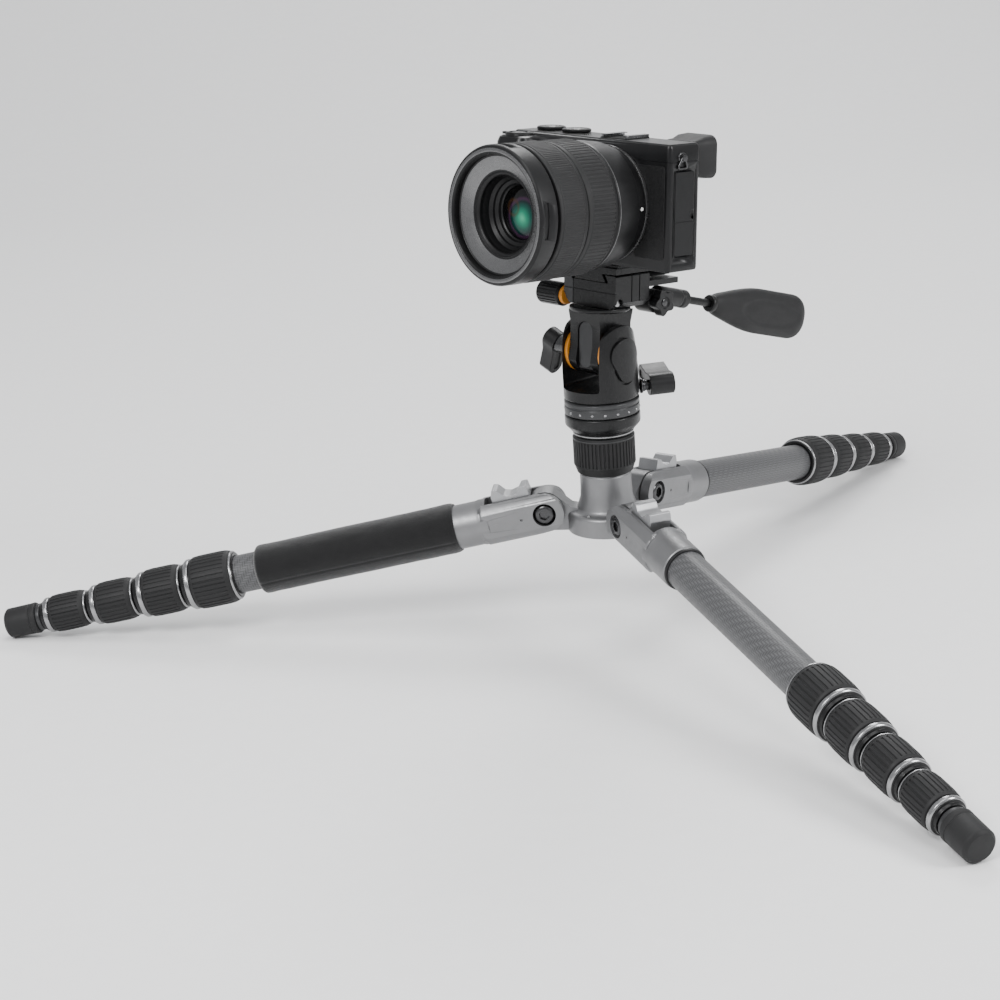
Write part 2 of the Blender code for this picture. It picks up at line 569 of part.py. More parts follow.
# ---------------------------------------------------------------- head
def build_head(root):
    base = TOP_PLATE_TO + GAP
    pan_profile = [
        (0, base), (HEAD_RADIUS, base), (HEAD_RADIUS + 0.2 * MM, base + 0.6 * MM),
        (HEAD_RADIUS + 0.2 * MM, PAN_BASE_TOP),
        (SPINDLE_RADIUS, PAN_BASE_TOP), (SPINDLE_RADIUS, PAN_BASE_TOP + SPINDLE_HEIGHT),
        (0, PAN_BASE_TOP + SPINDLE_HEIGHT),
    ]
    piece("pan_base", lathe("pan_base", pan_profile, FINE), root, BLACK_METAL)

    low = PAN_BASE_TOP + GAP
    spindle_top = PAN_BASE_TOP + SPINDLE_HEIGHT + GAP
    cheek_top = TILT_HEIGHT + CHEEK_RADIUS
    head_profile = [
        (0, spindle_top), (SPINDLE_RADIUS + RUN_GAP, spindle_top), (SPINDLE_RADIUS + RUN_GAP, low),
        (HEAD_RADIUS, low), (HEAD_RADIUS, TILT_HEIGHT - 8 * MM),
        (HEAD_RADIUS - 0.8 * MM, TILT_HEIGHT + 4 * MM),
        (HEAD_RADIUS - 2.4 * MM, cheek_top + 2 * MM), (0, cheek_top + 2 * MM),
    ]
    head = piece("head_body", lathe("head_body", head_profile, FINE), root, BLACK_METAL)
    shell = 2 * HEAD_RADIUS
    side_view = ([(-shell, low - 5 * MM), (shell, low - 5 * MM), (shell, TILT_HEIGHT - 9 * MM)]
                 + arc(0, TILT_HEIGHT, CHEEK_RADIUS, -10, 190, 20) + [(-shell, TILT_HEIGHT - 9 * MM)])
    arch = tool("cheek arch", prism("cheek arch", side_view, -shell, shell), root, SIDEWAYS)
    combine(head, arch, "INTERSECT")
    notch = block("neck notch", (-NOTCH_HALF, -shell, NOTCH_FLOOR),
                  (NOTCH_HALF, shell, cheek_top + 10 * MM))
    combine(head, tool("neck notch", notch, root), "DIFFERENCE")
    cap_low = NOTCH_HALF + 2 * MM
    cap_high = HEAD_RADIUS + CAP_STANDS
    cap_mesh = lathe("cheek cap", [(0, cap_low), (CAP_RADIUS, cap_low), (CAP_RADIUS, cap_high - 2.5 * MM),
                                   (CAP_RADIUS - 2.5 * MM, cap_high), (0, cap_high)])
    combine(head, tool("cheek cap", cap_mesh, root, move(z=TILT_HEIGHT) @ ALONG_X), "UNION")
    shaft_hole = lathe("tilt shaft hole", [(0, -cap_low), (TILT_SHAFT + RUN_GAP, -cap_low),
                                           (TILT_SHAFT + RUN_GAP, shell), (0, shell)], SMALL)
    combine(head, tool("tilt shaft hole", shaft_hole, root, move(z=TILT_HEIGHT) @ ALONG_MINUS_X),
            "DIFFERENCE")
    pan_frame = turn(PAN_KNOB_AZIMUTH, "Z") @ move(z=PAN_KNOB_HEIGHT) @ ALONG_X
    hole = PAN_SCREW + GAP
    pan_hole = lathe("pan screw hole", [(0, 14 * MM), (hole, 14 * MM), (hole, 30 * MM), (0, 30 * MM)],
                     SMALL)
    combine(head, tool("pan screw hole", pan_hole, root, pan_frame), "DIFFERENCE")

    knob_frame = move(z=TILT_HEIGHT) @ ALONG_MINUS_X        # Z outward, X up
    build_wing("tilt_knob", root, knob_frame, TILT_KNOB_REACH, TILT_SHAFT, -(NOTCH_HALF - 3 * MM),
               HEAD_RADIUS,
               TILT_WING_THICK, 172, TILT_WING_FLARE)
    build_wing("pan_knob", root, pan_frame, PAN_KNOB_REACH, PAN_SCREW, 14.5 * MM, HEAD_RADIUS,
               PAN_WING_THICK, 100)


def wing_outline(width, length):
    """A paddle seen along the screw: a round boss that grows into a longer lobe along +X."""
    half = width / 2
    return arc(0, 0, half, 90, 270, 10) + arc(length - half * 0.85, 0, half * 0.85, -70, 70, 8)


def build_wing(name, parent, frame, reach, shaft, shaft_from, boss_from, thick, angle, flare=0.0):
    """A locking screw with a wing knob, its screw along Z of the frame. Flare leans the wing out."""
    start = boss_from + 1.2 * MM
    boss = shaft + 1.8 * MM
    profile = [(0, shaft_from), (shaft, shaft_from), (shaft, start), (boss, start),
               (boss, reach + 3 * MM),
               (0, reach + 3 * MM)]
    knob = piece(name, lathe(name, profile, SMALL), parent, BLACK_PLASTIC, frame)
    wing = prism(f"{name} wing", wing_outline(WING_WIDTH, WING_LENGTH), 0, thick, 1.6 * MM)
    place = frame @ turn(math.radians(angle), "Z") @ move(z=reach) @ turn(-flare, "Y")
    combine(knob, tool(f"{name} wing", wing, parent, place), "UNION")


def build_neck(tilt):
    """The neck between the cheeks. The frame's origin is the tilt axis."""
    top = NECK_TOP - TILT_HEIGHT
    flange_low = top - FLANGE_THICK
    outline = (arc(0, 0, NECK_KNUCKLE, 200, 340, 14) + [(NECK_BACK, 4 * MM),
                                                        (NECK_BACK, flange_low + 0.5 * MM),
                                                        (-NECK_FRONT, flange_low + 0.5 * MM),
                                                        (-NECK_FRONT, 4 * MM)])
    half = NECK_WIDTH / 2
    neck = piece("neck", prism("neck", outline, -half, half), tilt, BLACK_METAL, SIDEWAYS)
    flange_mesh = lathe("neck flange", [(0, flange_low), (FLANGE_RADIUS - 0.8 * MM, flange_low),
                                        (FLANGE_RADIUS, flange_low + 0.8 * MM), (FLANGE_RADIUS, top),
                                        (0, top)], FINE)
    combine(neck, tool("neck flange", flange_mesh, tilt), "UNION")
    shaft_mesh = lathe("neck shaft hole", [(0, -half - 5 * MM), (TILT_SHAFT + RUN_GAP, -half - 5 * MM),
                                           (TILT_SHAFT + RUN_GAP, half + 5 * MM), (0, half + 5 * MM)],
                                           SMALL)
    combine(neck, tool("neck shaft hole", shaft_mesh, tilt, ALONG_X), "DIFFERENCE")


def build_clamp(tilt):
    """Clamp, jaw, knob and quick release plate, in the tilt frame."""
    low = CLAMP_FROM - TILT_HEIGHT
    bed = CLAMP_BED - TILT_HEIGHT
    lip = CLAMP_LIP - TILT_HEIGHT
    half = CLAMP_WIDTH / 2
    back = CLAMP_FRONT + CLAMP_DEPTH
    split = -half + JAW_THICK
    groove = DOVETAIL_HALF + RUN_GAP
    flare = groove - DOVETAIL_DEPTH * 0.6
    body_view = [(split, low), (half - 1 * MM, low), (half, low + 1 * MM), (half, lip - 0.6 * MM),
                 (half - 0.6 * MM, lip), (flare + 1.8 * MM, lip), (groove + 1.8 * MM, bed), (split, bed)]
    clamp = piece("clamp_body", prism("clamp_body", body_view, -back, -CLAMP_FRONT), tilt, BLACK_METAL,
                  ACROSS)
    shelf = block("clamp shelf", (split + 1 * MM, back - 5 * MM, SHELF_FROM - TILT_HEIGHT),
                  (half - 0.5 * MM, SHELF_BACK, bed - 0.4 * MM))
    combine(clamp, tool("clamp shelf", shelf, tilt), "UNION")
    screw_z = CLAMP_SCREW_HEIGHT - TILT_HEIGHT
    hole = CLAMP_SCREW_RADIUS + RUN_GAP
    hole_mesh = lathe("clamp screw hole", [(0, -half + 1 * MM), (hole, -half + 1 * MM),
                                           (hole, half + 20 * MM),
                                           (0, half + 20 * MM)], SMALL)
    screw_frame = move(0, CLAMP_SCREW_Y, screw_z) @ ALONG_MINUS_X
    cutter = tool("clamp screw hole", hole_mesh, tilt, screw_frame)
    combine(clamp, cutter, "DIFFERENCE")

    edge = split - RUN_GAP
    jaw_view = [(-half, low), (edge, low), (edge, bed), (-groove - 1.8 * MM, bed),
                (-flare - 1.8 * MM, lip),
                (-half + 0.6 * MM, lip), (-half, lip - 0.6 * MM)]
    jaw = piece("clamp_jaw", prism("clamp_jaw", jaw_view, -back, -CLAMP_FRONT), tilt, GREY_METAL, ACROSS)
    combine(jaw, cutter, "DIFFERENCE")

    start = half + GAP
    knob_profile = [
        (0, -half + 2 * MM), (CLAMP_SCREW_RADIUS, -half + 2 * MM), (CLAMP_SCREW_RADIUS, start),
        (CLAMP_KNOB_RADIUS - 1.4 * MM, start), (CLAMP_KNOB_RADIUS - 1.4 * MM, start + 2.6 * MM),
        (CLAMP_KNOB_RADIUS, start + 3.2 * MM), (CLAMP_KNOB_RADIUS, start + CLAMP_KNOB_LENGTH - 1 * MM),
        (CLAMP_KNOB_RADIUS - 1 * MM, start + CLAMP_KNOB_LENGTH), (0, start + CLAMP_KNOB_LENGTH),
    ]
    piece("clamp_knob", lathe("clamp_knob", knob_profile, ROUND), tilt, BLACK_METAL, screw_frame)

    plate_top = PLATE_TOP - TILT_HEIGHT
    slab_low = plate_top - PLATE_THICK
    foot = bed + GAP
    plate_half = PLATE_WIDTH / 2
    plate_view = [
        (-DOVETAIL_HALF, foot), (DOVETAIL_HALF, foot), (flare - GAP, lip), (flare - GAP, slab_low),
        (plate_half, slab_low + 0.4 * MM), (plate_half, plate_top), (-plate_half, plate_top),
        (-plate_half, slab_low + 0.4 * MM), (-flare + GAP, slab_low), (-flare + GAP, lip),
    ]
    piece("quick_plate", prism("quick_plate", plate_view, -PLATE_FRONT - PLATE_LENGTH, -PLATE_FRONT),
          tilt,
          BLACK_METAL, ACROSS)


def build_handle(tilt):
    place = move(HANDLE_X, HANDLE_Y, HANDLE_Z - TILT_HEIGHT) @ turn(-HANDLE_DROOP, "X")
    frame = empty("handle frame", place, tilt)          # Y along the rod, X along the hinge
    half = HANDLE_SOCKET_HALF
    hole = HANDLE_SCREW + RUN_GAP
    eye = [(hole, -half), (HANDLE_SOCKET_RADIUS, -half), (HANDLE_SOCKET_RADIUS, half), (hole, half)]
    arm = piece("handle_arm", lathe("handle_arm", eye, ROUND), frame, BLACK_METAL, ALONG_X)
    rod_frame = move(z=HANDLE_LIFT) @ ALONG_Y
    start = HANDLE_SCREW + 2.5 * MM
    rod_mesh = lathe("handle rod", [
        (0, start), (HANDLE_BARREL, start), (HANDLE_BARREL, HANDLE_BARREL_END - 1 * MM),
        (HANDLE_BARREL - 1 * MM, HANDLE_BARREL_END), (HANDLE_ROD, HANDLE_BARREL_END),
        (HANDLE_ROD, HANDLE_ROD_END),
        (0, HANDLE_ROD_END)], SMALL)
    combine(arm, tool("handle rod", rod_mesh, frame, rod_frame), "UNION")

    star = []
    corners = 20
    for k in range(corners):
        angle = 2 * math.pi * k / corners
        radius = STAR_RADIUS * (0.88 + 0.12 * math.cos(5 * angle))
        star.append((radius * math.cos(angle), radius * math.sin(angle)))
    knob_from = half + GAP
    screw = lathe("handle_knob", [(0, -half - 3 * MM), (HANDLE_SCREW, -half - 3 * MM),
                                  (HANDLE_SCREW, knob_from + 1 * MM), (0, knob_from + 1 * MM)], SMALL)
    knob = piece("handle_knob", screw, frame, BLACK_PLASTIC, ALONG_X)
    star_mesh = prism("handle star", star, knob_from, knob_from + STAR_THICK, 1 * MM)
    combine(knob, tool("handle star", star_mesh, frame, ALONG_X), "UNION")

    # The grip is a flattened spindle: narrow at the rod, widest past its middle, round at the end.
    steps = 10
    outline = [(0, GRIP_FROM)]
    for k in range(steps):
        share = k / steps
        swell = 1 - 0.55 * (1 - share) ** 3 - 0.42 * share ** 7
        outline.append((swell * GRIP_WIDTH / 2, GRIP_FROM + (share + 0.01) * GRIP_LENGTH))
    outline.append((0, GRIP_FROM + GRIP_LENGTH))
    mesh = lathe("handle_grip", outline, ROUND)
    for vert in mesh.vertices:
        vert.co.y *= GRIP_THICK / GRIP_WIDTH
    grip = piece("handle_grip", mesh, frame, RUBBER, rod_frame)
    bore = HANDLE_ROD + GAP
    socket = lathe("grip socket", [(0, GRIP_FROM - 5 * MM), (bore, GRIP_FROM - 5 * MM),
                                   (bore, HANDLE_ROD_END + GAP), (0, HANDLE_ROD_END + GAP)], SMALL)
    combine(grip, tool("grip socket", socket, frame, rod_frame), "DIFFERENCE")


# ---------------------------------------------------------------- camera
def build_camera(tilt):
    place = move(BODY_MIDDLE, BODY_FRONT, BODY_BOTTOM - TILT_HEIGHT)
    # X to its left, Y to its back, Z up, from the front face
    frame = empty("camera frame", place, tilt)
    half = BODY_WIDTH / 2
    outline = round_rect(-half, 0, half, BODY_DEPTH, BODY_CORNER)
    body = piece("camera_body", prism("camera_body", outline, 0, BODY_HEIGHT, 2 * MM), frame,
                 BLACK_PLASTIC)
    bulge = round_rect(-half, -GRIP_BULGE, -half + GRIP_SPAN, BODY_DEPTH / 2, 6 * MM)
    grip_mesh = prism("hand grip", bulge, 2.5 * MM, BODY_HEIGHT - 2 * MM, 2 * MM)
    combine(body, tool("hand grip", grip_mesh, frame), "UNION")

    cup_right = half - 3 * MM
    cup_left = cup_right - CUP_WIDTH
    cup_top = BODY_HEIGHT + CUP_ABOVE
    cup_low = cup_top - CUP_HEIGHT
    eyepiece = block("eyepiece", (cup_left + 4 * MM, BODY_DEPTH - 4 * MM, cup_low + 4 * MM),
                     (cup_right - 4 * MM, BODY_DEPTH + 4 * MM, BODY_HEIGHT - 1.5 * MM))
    combine(body, tool("eyepiece", eyepiece, frame), "UNION")
    cup_view = round_rect(cup_left, cup_low, cup_right, cup_top, 5 * MM)
    cup_from = BODY_DEPTH + GAP
    cup = piece("eyecup", prism("eyecup", cup_view, -cup_from - CUP_DEPTH, -cup_from, 2 * MM), frame,
                RUBBER, ACROSS)
    window = round_rect(cup_left + 4 * MM - GAP, cup_low + 4 * MM - GAP, cup_right - 4 * MM + GAP,
                        BODY_HEIGHT - 1.5 * MM + GAP, 1 * MM, 2)
    combine(cup, tool("eyecup window", prism("eyecup window", window, -cup_from - 40 * MM,
                                             5 * MM - cup_from),
                      frame, ACROSS), "DIFFERENCE")

    screen_right = cup_left - 2 * MM
    screen_low = 5 * MM
    screen_from = BODY_DEPTH + GAP
    screen = block("screen", (screen_right - SCREEN_WIDTH, screen_from, screen_low),
                   (screen_right, screen_from + SCREEN_THICK, screen_low + SCREEN_HEIGHT), 1 * MM)
    hinge = (0, screen_from + SCREEN_THICK / 2, screen_low)
    for vert in screen.vertices:
        vert.co -= Vector(hinge)
    piece("screen", screen, frame, SCREEN, move(*hinge))

    top = BODY_HEIGHT + GAP
    dial_y = BODY_DEPTH - DIAL_RADIUS - 1 * MM
    for name, x in (("mode_dial", -half + 36 * MM), ("control_dial", -half + 16 * MM)):
        profile = [(0, 0), (DIAL_RADIUS, 0), (DIAL_RADIUS, DIAL_HEIGHT - 0.8 * MM),
                   (DIAL_RADIUS - 0.8 * MM, DIAL_HEIGHT), (0, DIAL_HEIGHT)]
        piece(name, lathe(name, profile, ROUND), frame, BLACK_METAL, move(x, dial_y, top))
    button_x = -half + GRIP_SPAN / 2
    button_y = -GRIP_BULGE + 9 * MM
    grip_top = BODY_HEIGHT - 2 * MM
    well = BUTTON_RADIUS + RUN_GAP
    well_mesh = lathe("button well", [(0, -3 * MM), (well, -3 * MM), (well, 20 * MM), (0, 20 * MM)],
                      SMALL)
    combine(body, tool("button well", well_mesh, frame, move(button_x, button_y, grip_top)), "DIFFERENCE")
    button = [(0, -3 * MM + BUTTON_TRAVEL + RUN_GAP), (BUTTON_RADIUS, -3 * MM + BUTTON_TRAVEL + RUN_GAP),
              (BUTTON_RADIUS, 1.2 * MM), (BUTTON_RADIUS - 0.8 * MM, 2 * MM), (0, 2 * MM)]
    piece("shutter_button", lathe("shutter_button", button, SMALL), frame, BLACK_METAL,
          move(button_x, button_y, grip_top))
    build_lens(frame)


def build_lens(frame):
    """The lens, turned about its own axis. Lengths run forward from the front of the body."""
    place = move(LENS_OFFSET, 0, LENS_HEIGHT)
    axis = empty("lens axis", place @ ALONG_MINUS_Y, frame)
    core_bore = CORE_RADIUS - 5 * MM
    core = [
        (core_bore, GAP), (MOUNT_RADIUS, GAP), (MOUNT_RADIUS, MOUNT_LENGTH),
        (REAR_BARREL - 1.2 * MM, MOUNT_LENGTH),
        (REAR_BARREL, MOUNT_LENGTH + 1 * MM), (REAR_BARREL + 1.6 * MM, REAR_BARREL_TO),
        (CORE_RADIUS, REAR_BARREL_TO),
        (CORE_RADIUS, CORE_TO), (core_bore, CORE_TO),
    ]
    piece("lens_barrel", lathe("lens_barrel", core, FINE), axis, BLACK_PLASTIC)
    ring_bore = CORE_RADIUS + RUN_GAP
    zoom_low = REAR_BARREL + 1.7 * MM
    zoom = [(ring_bore, ZOOM_FROM), (zoom_low, ZOOM_FROM), (zoom_low + 1 * MM, ZOOM_TO),
            (ring_bore, ZOOM_TO)]
    piece("zoom_ring", lathe("zoom_ring", zoom, FINE), axis, RUBBER)
    focus_from = ZOOM_TO + GAP
    focus = [(ring_bore, focus_from), (LENS_RADIUS - 0.4 * MM, focus_from),
             (LENS_RADIUS, focus_from + 1.5 * MM),
             (LENS_RADIUS, FOCUS_TO), (ring_bore, FOCUS_TO)]
    piece("focus_ring", lathe("focus_ring", focus, FINE), axis, RUBBER)

    front_from = FOCUS_TO + GAP
    slide_outer = core_bore - RUN_GAP
    slide_from = 36 * MM
    slide_inner = slide_outer - 1.6 * MM
    seat = LENS_REACH - 13 * MM
    front = [
        (slide_inner, slide_from), (slide_outer, slide_from), (slide_outer, CORE_TO + GAP),
        (LENS_RADIUS, CORE_TO + GAP),
        (LENS_RADIUS, LENS_REACH - 2 * MM), (LENS_RADIUS - 1.4 * MM, LENS_REACH),
        (LENS_RADIUS - 4 * MM, LENS_REACH),
        (LENS_RADIUS - 5.5 * MM, LENS_REACH - 4 * MM), (slide_outer, seat + 6 * MM), (slide_outer, seat),
        (slide_inner, seat),
    ]
    piece("inner_barrel", lathe("inner_barrel", front, FINE), axis, BLACK_PLASTIC)
    glass_radius = slide_inner - GAP
    bulge = 3 * MM
    glass = [(0, seat - 9 * MM), (glass_radius, seat - 9 * MM), (glass_radius, seat - 4 * MM)]
    sphere = (glass_radius ** 2 + bulge ** 2) / (2 * bulge)
    for k in range(1, 6):
        r = glass_radius * (1 - k / 5)
        glass.append((r, seat - 4 * MM + math.sqrt(sphere ** 2 - r ** 2) - (sphere - bulge)))
    piece("front_glass", lathe("front_glass", glass, FINE), axis, GLASS)


def footprint_middle():
    """The middle of the three feet's box, so that the origin can sit under it."""
    xs, ys = [], []
    reach = PIVOT_RADIUS + LEG_LENGTH * math.cos(LEG_DROOP)
    lean = math.cos(LEG_DROOP)
    rim = FOOT_RADIUS - FOOT_CHAMFER
    for azimuth in LEG_AZIMUTHS.values():
        across = math.cos(math.radians(azimuth)), math.sin(math.radians(azimuth))
        for values, part in ((xs, across[0]), (ys, across[1])):
            spread = rim * math.sqrt(max(0.0, 1 - (lean * part) ** 2))
            values += [reach * part - spread, reach * part + spread]
    return (min(xs) + max(xs)) / 2, (min(ys) + max(ys)) / 2


def main():
    clear_scene()
    middle_x, middle_y = footprint_middle()
    root = empty("ground frame", move(-middle_x, -middle_y, 0))
    build_hub(root)
    build_column(root)
    for side, azimuth in LEG_AZIMUTHS.items():
        build_leg(side, azimuth, root)
    build_head(root)
    tilt = empty("tilt frame", move(z=TILT_HEIGHT) @ turn(-TILT_REST, "X"), root)
    build_neck(tilt)
    build_clamp(tilt)
    build_handle(tilt)
    build_camera(tilt)


main()
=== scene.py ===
"""The looks of a mirrorless camera on a low travel tripod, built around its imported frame.

Lengths in the classes are millimetres, in each sub-assembly's own frame. Every frame is placed from the joints
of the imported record, so each piece stands where its solid does.
"""

from __future__ import annotations

import json
import logging
import math
from dataclasses import dataclass, field
from enum import Enum
from typing import Any, Iterable, Sequence, Union

import bmesh
import bpy
from mathutils import Matrix, Vector, noise

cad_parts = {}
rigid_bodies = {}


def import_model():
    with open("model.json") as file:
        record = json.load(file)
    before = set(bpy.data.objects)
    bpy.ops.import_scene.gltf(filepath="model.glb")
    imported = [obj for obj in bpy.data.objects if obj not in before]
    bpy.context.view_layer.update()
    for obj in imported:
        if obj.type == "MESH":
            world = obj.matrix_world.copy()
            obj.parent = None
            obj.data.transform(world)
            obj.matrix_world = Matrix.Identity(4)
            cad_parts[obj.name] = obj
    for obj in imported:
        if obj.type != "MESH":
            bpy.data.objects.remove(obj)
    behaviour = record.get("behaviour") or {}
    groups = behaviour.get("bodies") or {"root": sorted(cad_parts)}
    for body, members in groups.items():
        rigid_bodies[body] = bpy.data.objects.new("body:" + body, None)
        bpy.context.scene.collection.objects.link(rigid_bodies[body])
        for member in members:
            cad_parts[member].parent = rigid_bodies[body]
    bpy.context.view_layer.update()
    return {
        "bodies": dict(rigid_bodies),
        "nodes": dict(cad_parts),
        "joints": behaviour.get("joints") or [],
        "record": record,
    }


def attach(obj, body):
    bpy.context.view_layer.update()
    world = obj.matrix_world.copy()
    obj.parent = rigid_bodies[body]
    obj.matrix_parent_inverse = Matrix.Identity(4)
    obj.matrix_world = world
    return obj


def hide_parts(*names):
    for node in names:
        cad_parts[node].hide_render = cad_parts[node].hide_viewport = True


MM = 0.001
LOG = logging.getLogger("camera_on_tripod")
Point = tuple[float, float]
Colour = tuple[float, float, float]


# ------------------------------------------------------------------------------------------------ shader maths
class Value:
    """A socket of a shader graph that can be used in arithmetic."""

    def __init__(self, graph: Graph, socket: bpy.types.NodeSocket) -> None:
        """Keep the socket and the graph it belongs to."""
        self.graph = graph
        self.socket = socket

    def _maths(self, operation: str, *terms: Term) -> Value:
        """Add one Math node."""
        return self.graph.node("ShaderNodeMath", {"operation": operation}, *terms)

    def __add__(self, other: Term) -> Value:
        """Sum."""
        return self._maths("ADD", self, other)

    __radd__ = __add__

    def __sub__(self, other: Term) -> Value:
        """Difference."""
        return self._maths("SUBTRACT", self, other)

    def __rsub__(self, other: Term) -> Value:
        """Difference, reflected."""
        return self._maths("SUBTRACT", other, self)

    def __mul__(self, other: Term) -> Value:
        """Product."""
        return self._maths("MULTIPLY", self, other)

    __rmul__ = __mul__

    def __truediv__(self, other: Term) -> Value:
        """Quotient."""
        return self._maths("DIVIDE", self, other)

    def __rtruediv__(self, other: Term) -> Value:
        """Quotient, reflected."""
        return self._maths("DIVIDE", other, self)

    def __pow__(self, other: Term) -> Value:
        """Power."""
        return self._maths("POWER", self, other)

    def __mod__(self, other: Term) -> Value:
        """Remainder that is never negative."""
        return self._maths("FLOORED_MODULO", self, other)

    def __gt__(self, other: Term) -> Value:
        """One where this is greater, else zero."""
        return self._maths("GREATER_THAN", self, other)

    def __lt__(self, other: Term) -> Value:
        """One where this is less, else zero."""
        return self._maths("LESS_THAN", self, other)

    def sin(self) -> Value:
        """Sine."""
        return self._maths("SINE", self)

    def abs(self) -> Value:
        """Size without its sign."""
        return self._maths("ABSOLUTE", self)

    def floor(self) -> Value:
        """Whole part."""
        return self._maths("FLOOR", self)

    def clamped(self) -> Value:
        """Held between 0 and 1."""
        return self.graph.node("ShaderNodeClamp", {}, self, 0.0, 1.0)

    def ramp(self, low: float, high: float, start: float = 0.0, end: float = 1.0) -> Value:
        """Map low..high smoothly to start..end.

        Args:
            low: Value that gives start.
            high: Value that gives end.
            start: Result at low.
            end: Result at high.

        Returns:
            The mapped value.
        """
        return self.graph.node("ShaderNodeMapRange", {"interpolation_type": "SMOOTHSTEP"},
                               self, low, high, start, end)


Term = Union[float, int, Value]


class Graph:
    """The node tree of one material, with its Principled shader."""

    def __init__(self, material: bpy.types.Material) -> None:
        """Empty the material and give it one Principled shader.

        Args:
            material: The material to fill.
        """
        material.use_nodes = True
        self.tree = material.node_tree
        self.tree.nodes.clear()
        self.output = self.tree.nodes.new("ShaderNodeOutputMaterial")
        self.shader = self.tree.nodes.new("ShaderNodeBsdfPrincipled")
        self.tree.links.new(self.shader.outputs[0], self.output.inputs[0])

    def node(self, kind: str, settings: dict[str, Any], *inputs: Any, out: Union[int, str] = 0,
             named: dict[str, Any] | None = None) -> Value:
        """Add a node.

        Args:
            kind: The node's type.
            settings: Its properties, set before its sockets. "stops" fills a colour ramp.
            inputs: Values or links for its sockets, in order. None leaves one as it is.
            out: The output to hand back.
            named: Values or links for sockets by name.

        Returns:
            The chosen output.
        """
        made = self.tree.nodes.new(kind)
        for key, value in settings.items():
            if key == "stops":
                ramp = made.color_ramp
                while len(ramp.elements) < len(value):
                    ramp.elements.new(0.5)
                for element, (position, colour) in zip(ramp.elements, value):
                    element.position = position
                    element.color = (*colour, 1.0)
            else:
                setattr(made, key, value)
        sockets = [s for s in made.inputs if s.enabled]
        pairs = list(zip(sockets, inputs)) + [(made.inputs[k], v) for k, v in (named or {}).items()]
        for socket, value in pairs:
            self.feed(socket, value)
        if isinstance(out, str):
            return Value(self, made.outputs[out])
        return Value(self, [s for s in made.outputs if s.enabled][out])

    def feed(self, socket: bpy.types.NodeSocket, value: Any) -> None:
        """Link a value to a socket, or set the socket's own number or colour.

        Args:
            socket: The socket that takes it.
            value: A Value, a number, a tuple, or None for nothing.
        """
        if value is None:
            return
        if isinstance(value, Value):
            self.tree.links.new(value.socket, socket)
        elif isinstance(value, (int, float)) or len(value) == len(socket.default_value):
            socket.default_value = value
        else:
            socket.default_value = (*value, 1.0)

    def set(self, **sockets: Any) -> None:
        """Feed sockets of the Principled shader; underscores stand for spaces."""
        for name, value in sockets.items():
            self.feed(self.shader.inputs[name.replace("_", " ")], value)

    def place(self) -> Value:
        """The point on the piece, in its own frame, in millimetres."""
        coords = self.node("ShaderNodeTexCoord", {}, out="Object")
        return self.node("ShaderNodeVectorMath", {"operation": "SCALE"}, coords, 1 / MM)

    def stretched(self, vector: Value, x: float, y: float, z: float) -> Value:
        """The vector with its three parts scaled."""
        return self.node("ShaderNodeVectorMath", {"operation": "MULTIPLY"}, vector, (x, y, z))

    def parts(self, vector: Value) -> tuple[Value, Value, Value]:
        """The X, Y and Z of a vector."""
        made = self.node("ShaderNodeSeparateXYZ", {}, vector).socket.node
        return tuple(Value(self, s) for s in made.outputs)

    def vector(self, x: Term, y: Term, z: Term) -> Value:
        """A vector of three values."""
        return self.node("ShaderNodeCombineXYZ", {}, x, y, z)

    def noise(self, vector: Value, scale: float, detail: float = 2.0, rough: float = 0.5) -> Value:
        """Soft noise from 0 to 1, with scale in cells per millimetre."""
        return self.node("ShaderNodeTexNoise", {}, vector, scale, detail, rough)

    def cells(self, vector: Value, scale: float, feature: str = "F1") -> Value:
        """Distance in a Voronoi pattern, with scale in cells per millimetre."""
        return self.node("ShaderNodeTexVoronoi", {"feature": feature}, vector, scale, out="Distance")

    def mix(self, factor: Term, first: Any, second: Any) -> Value:
        """Mix two colours."""
        made = self.node("ShaderNodeMix", {"data_type": "RGBA"}, out=0).socket.node
        for socket, value in ((made.inputs[0], factor), (made.inputs[6], first), (made.inputs[7], second)):
            self.feed(socket, value)
        return Value(self, made.outputs[2])

    def bump(self, height: Value, distance: float, strength: float = 1.0) -> None:
        """Raise the surface by height times distance, in millimetres."""
        bump = self.node("ShaderNodeBump", {}, named={"Height": height, "Distance": distance * MM,
                                                      "Strength": strength})
        self.set(Normal=bump)


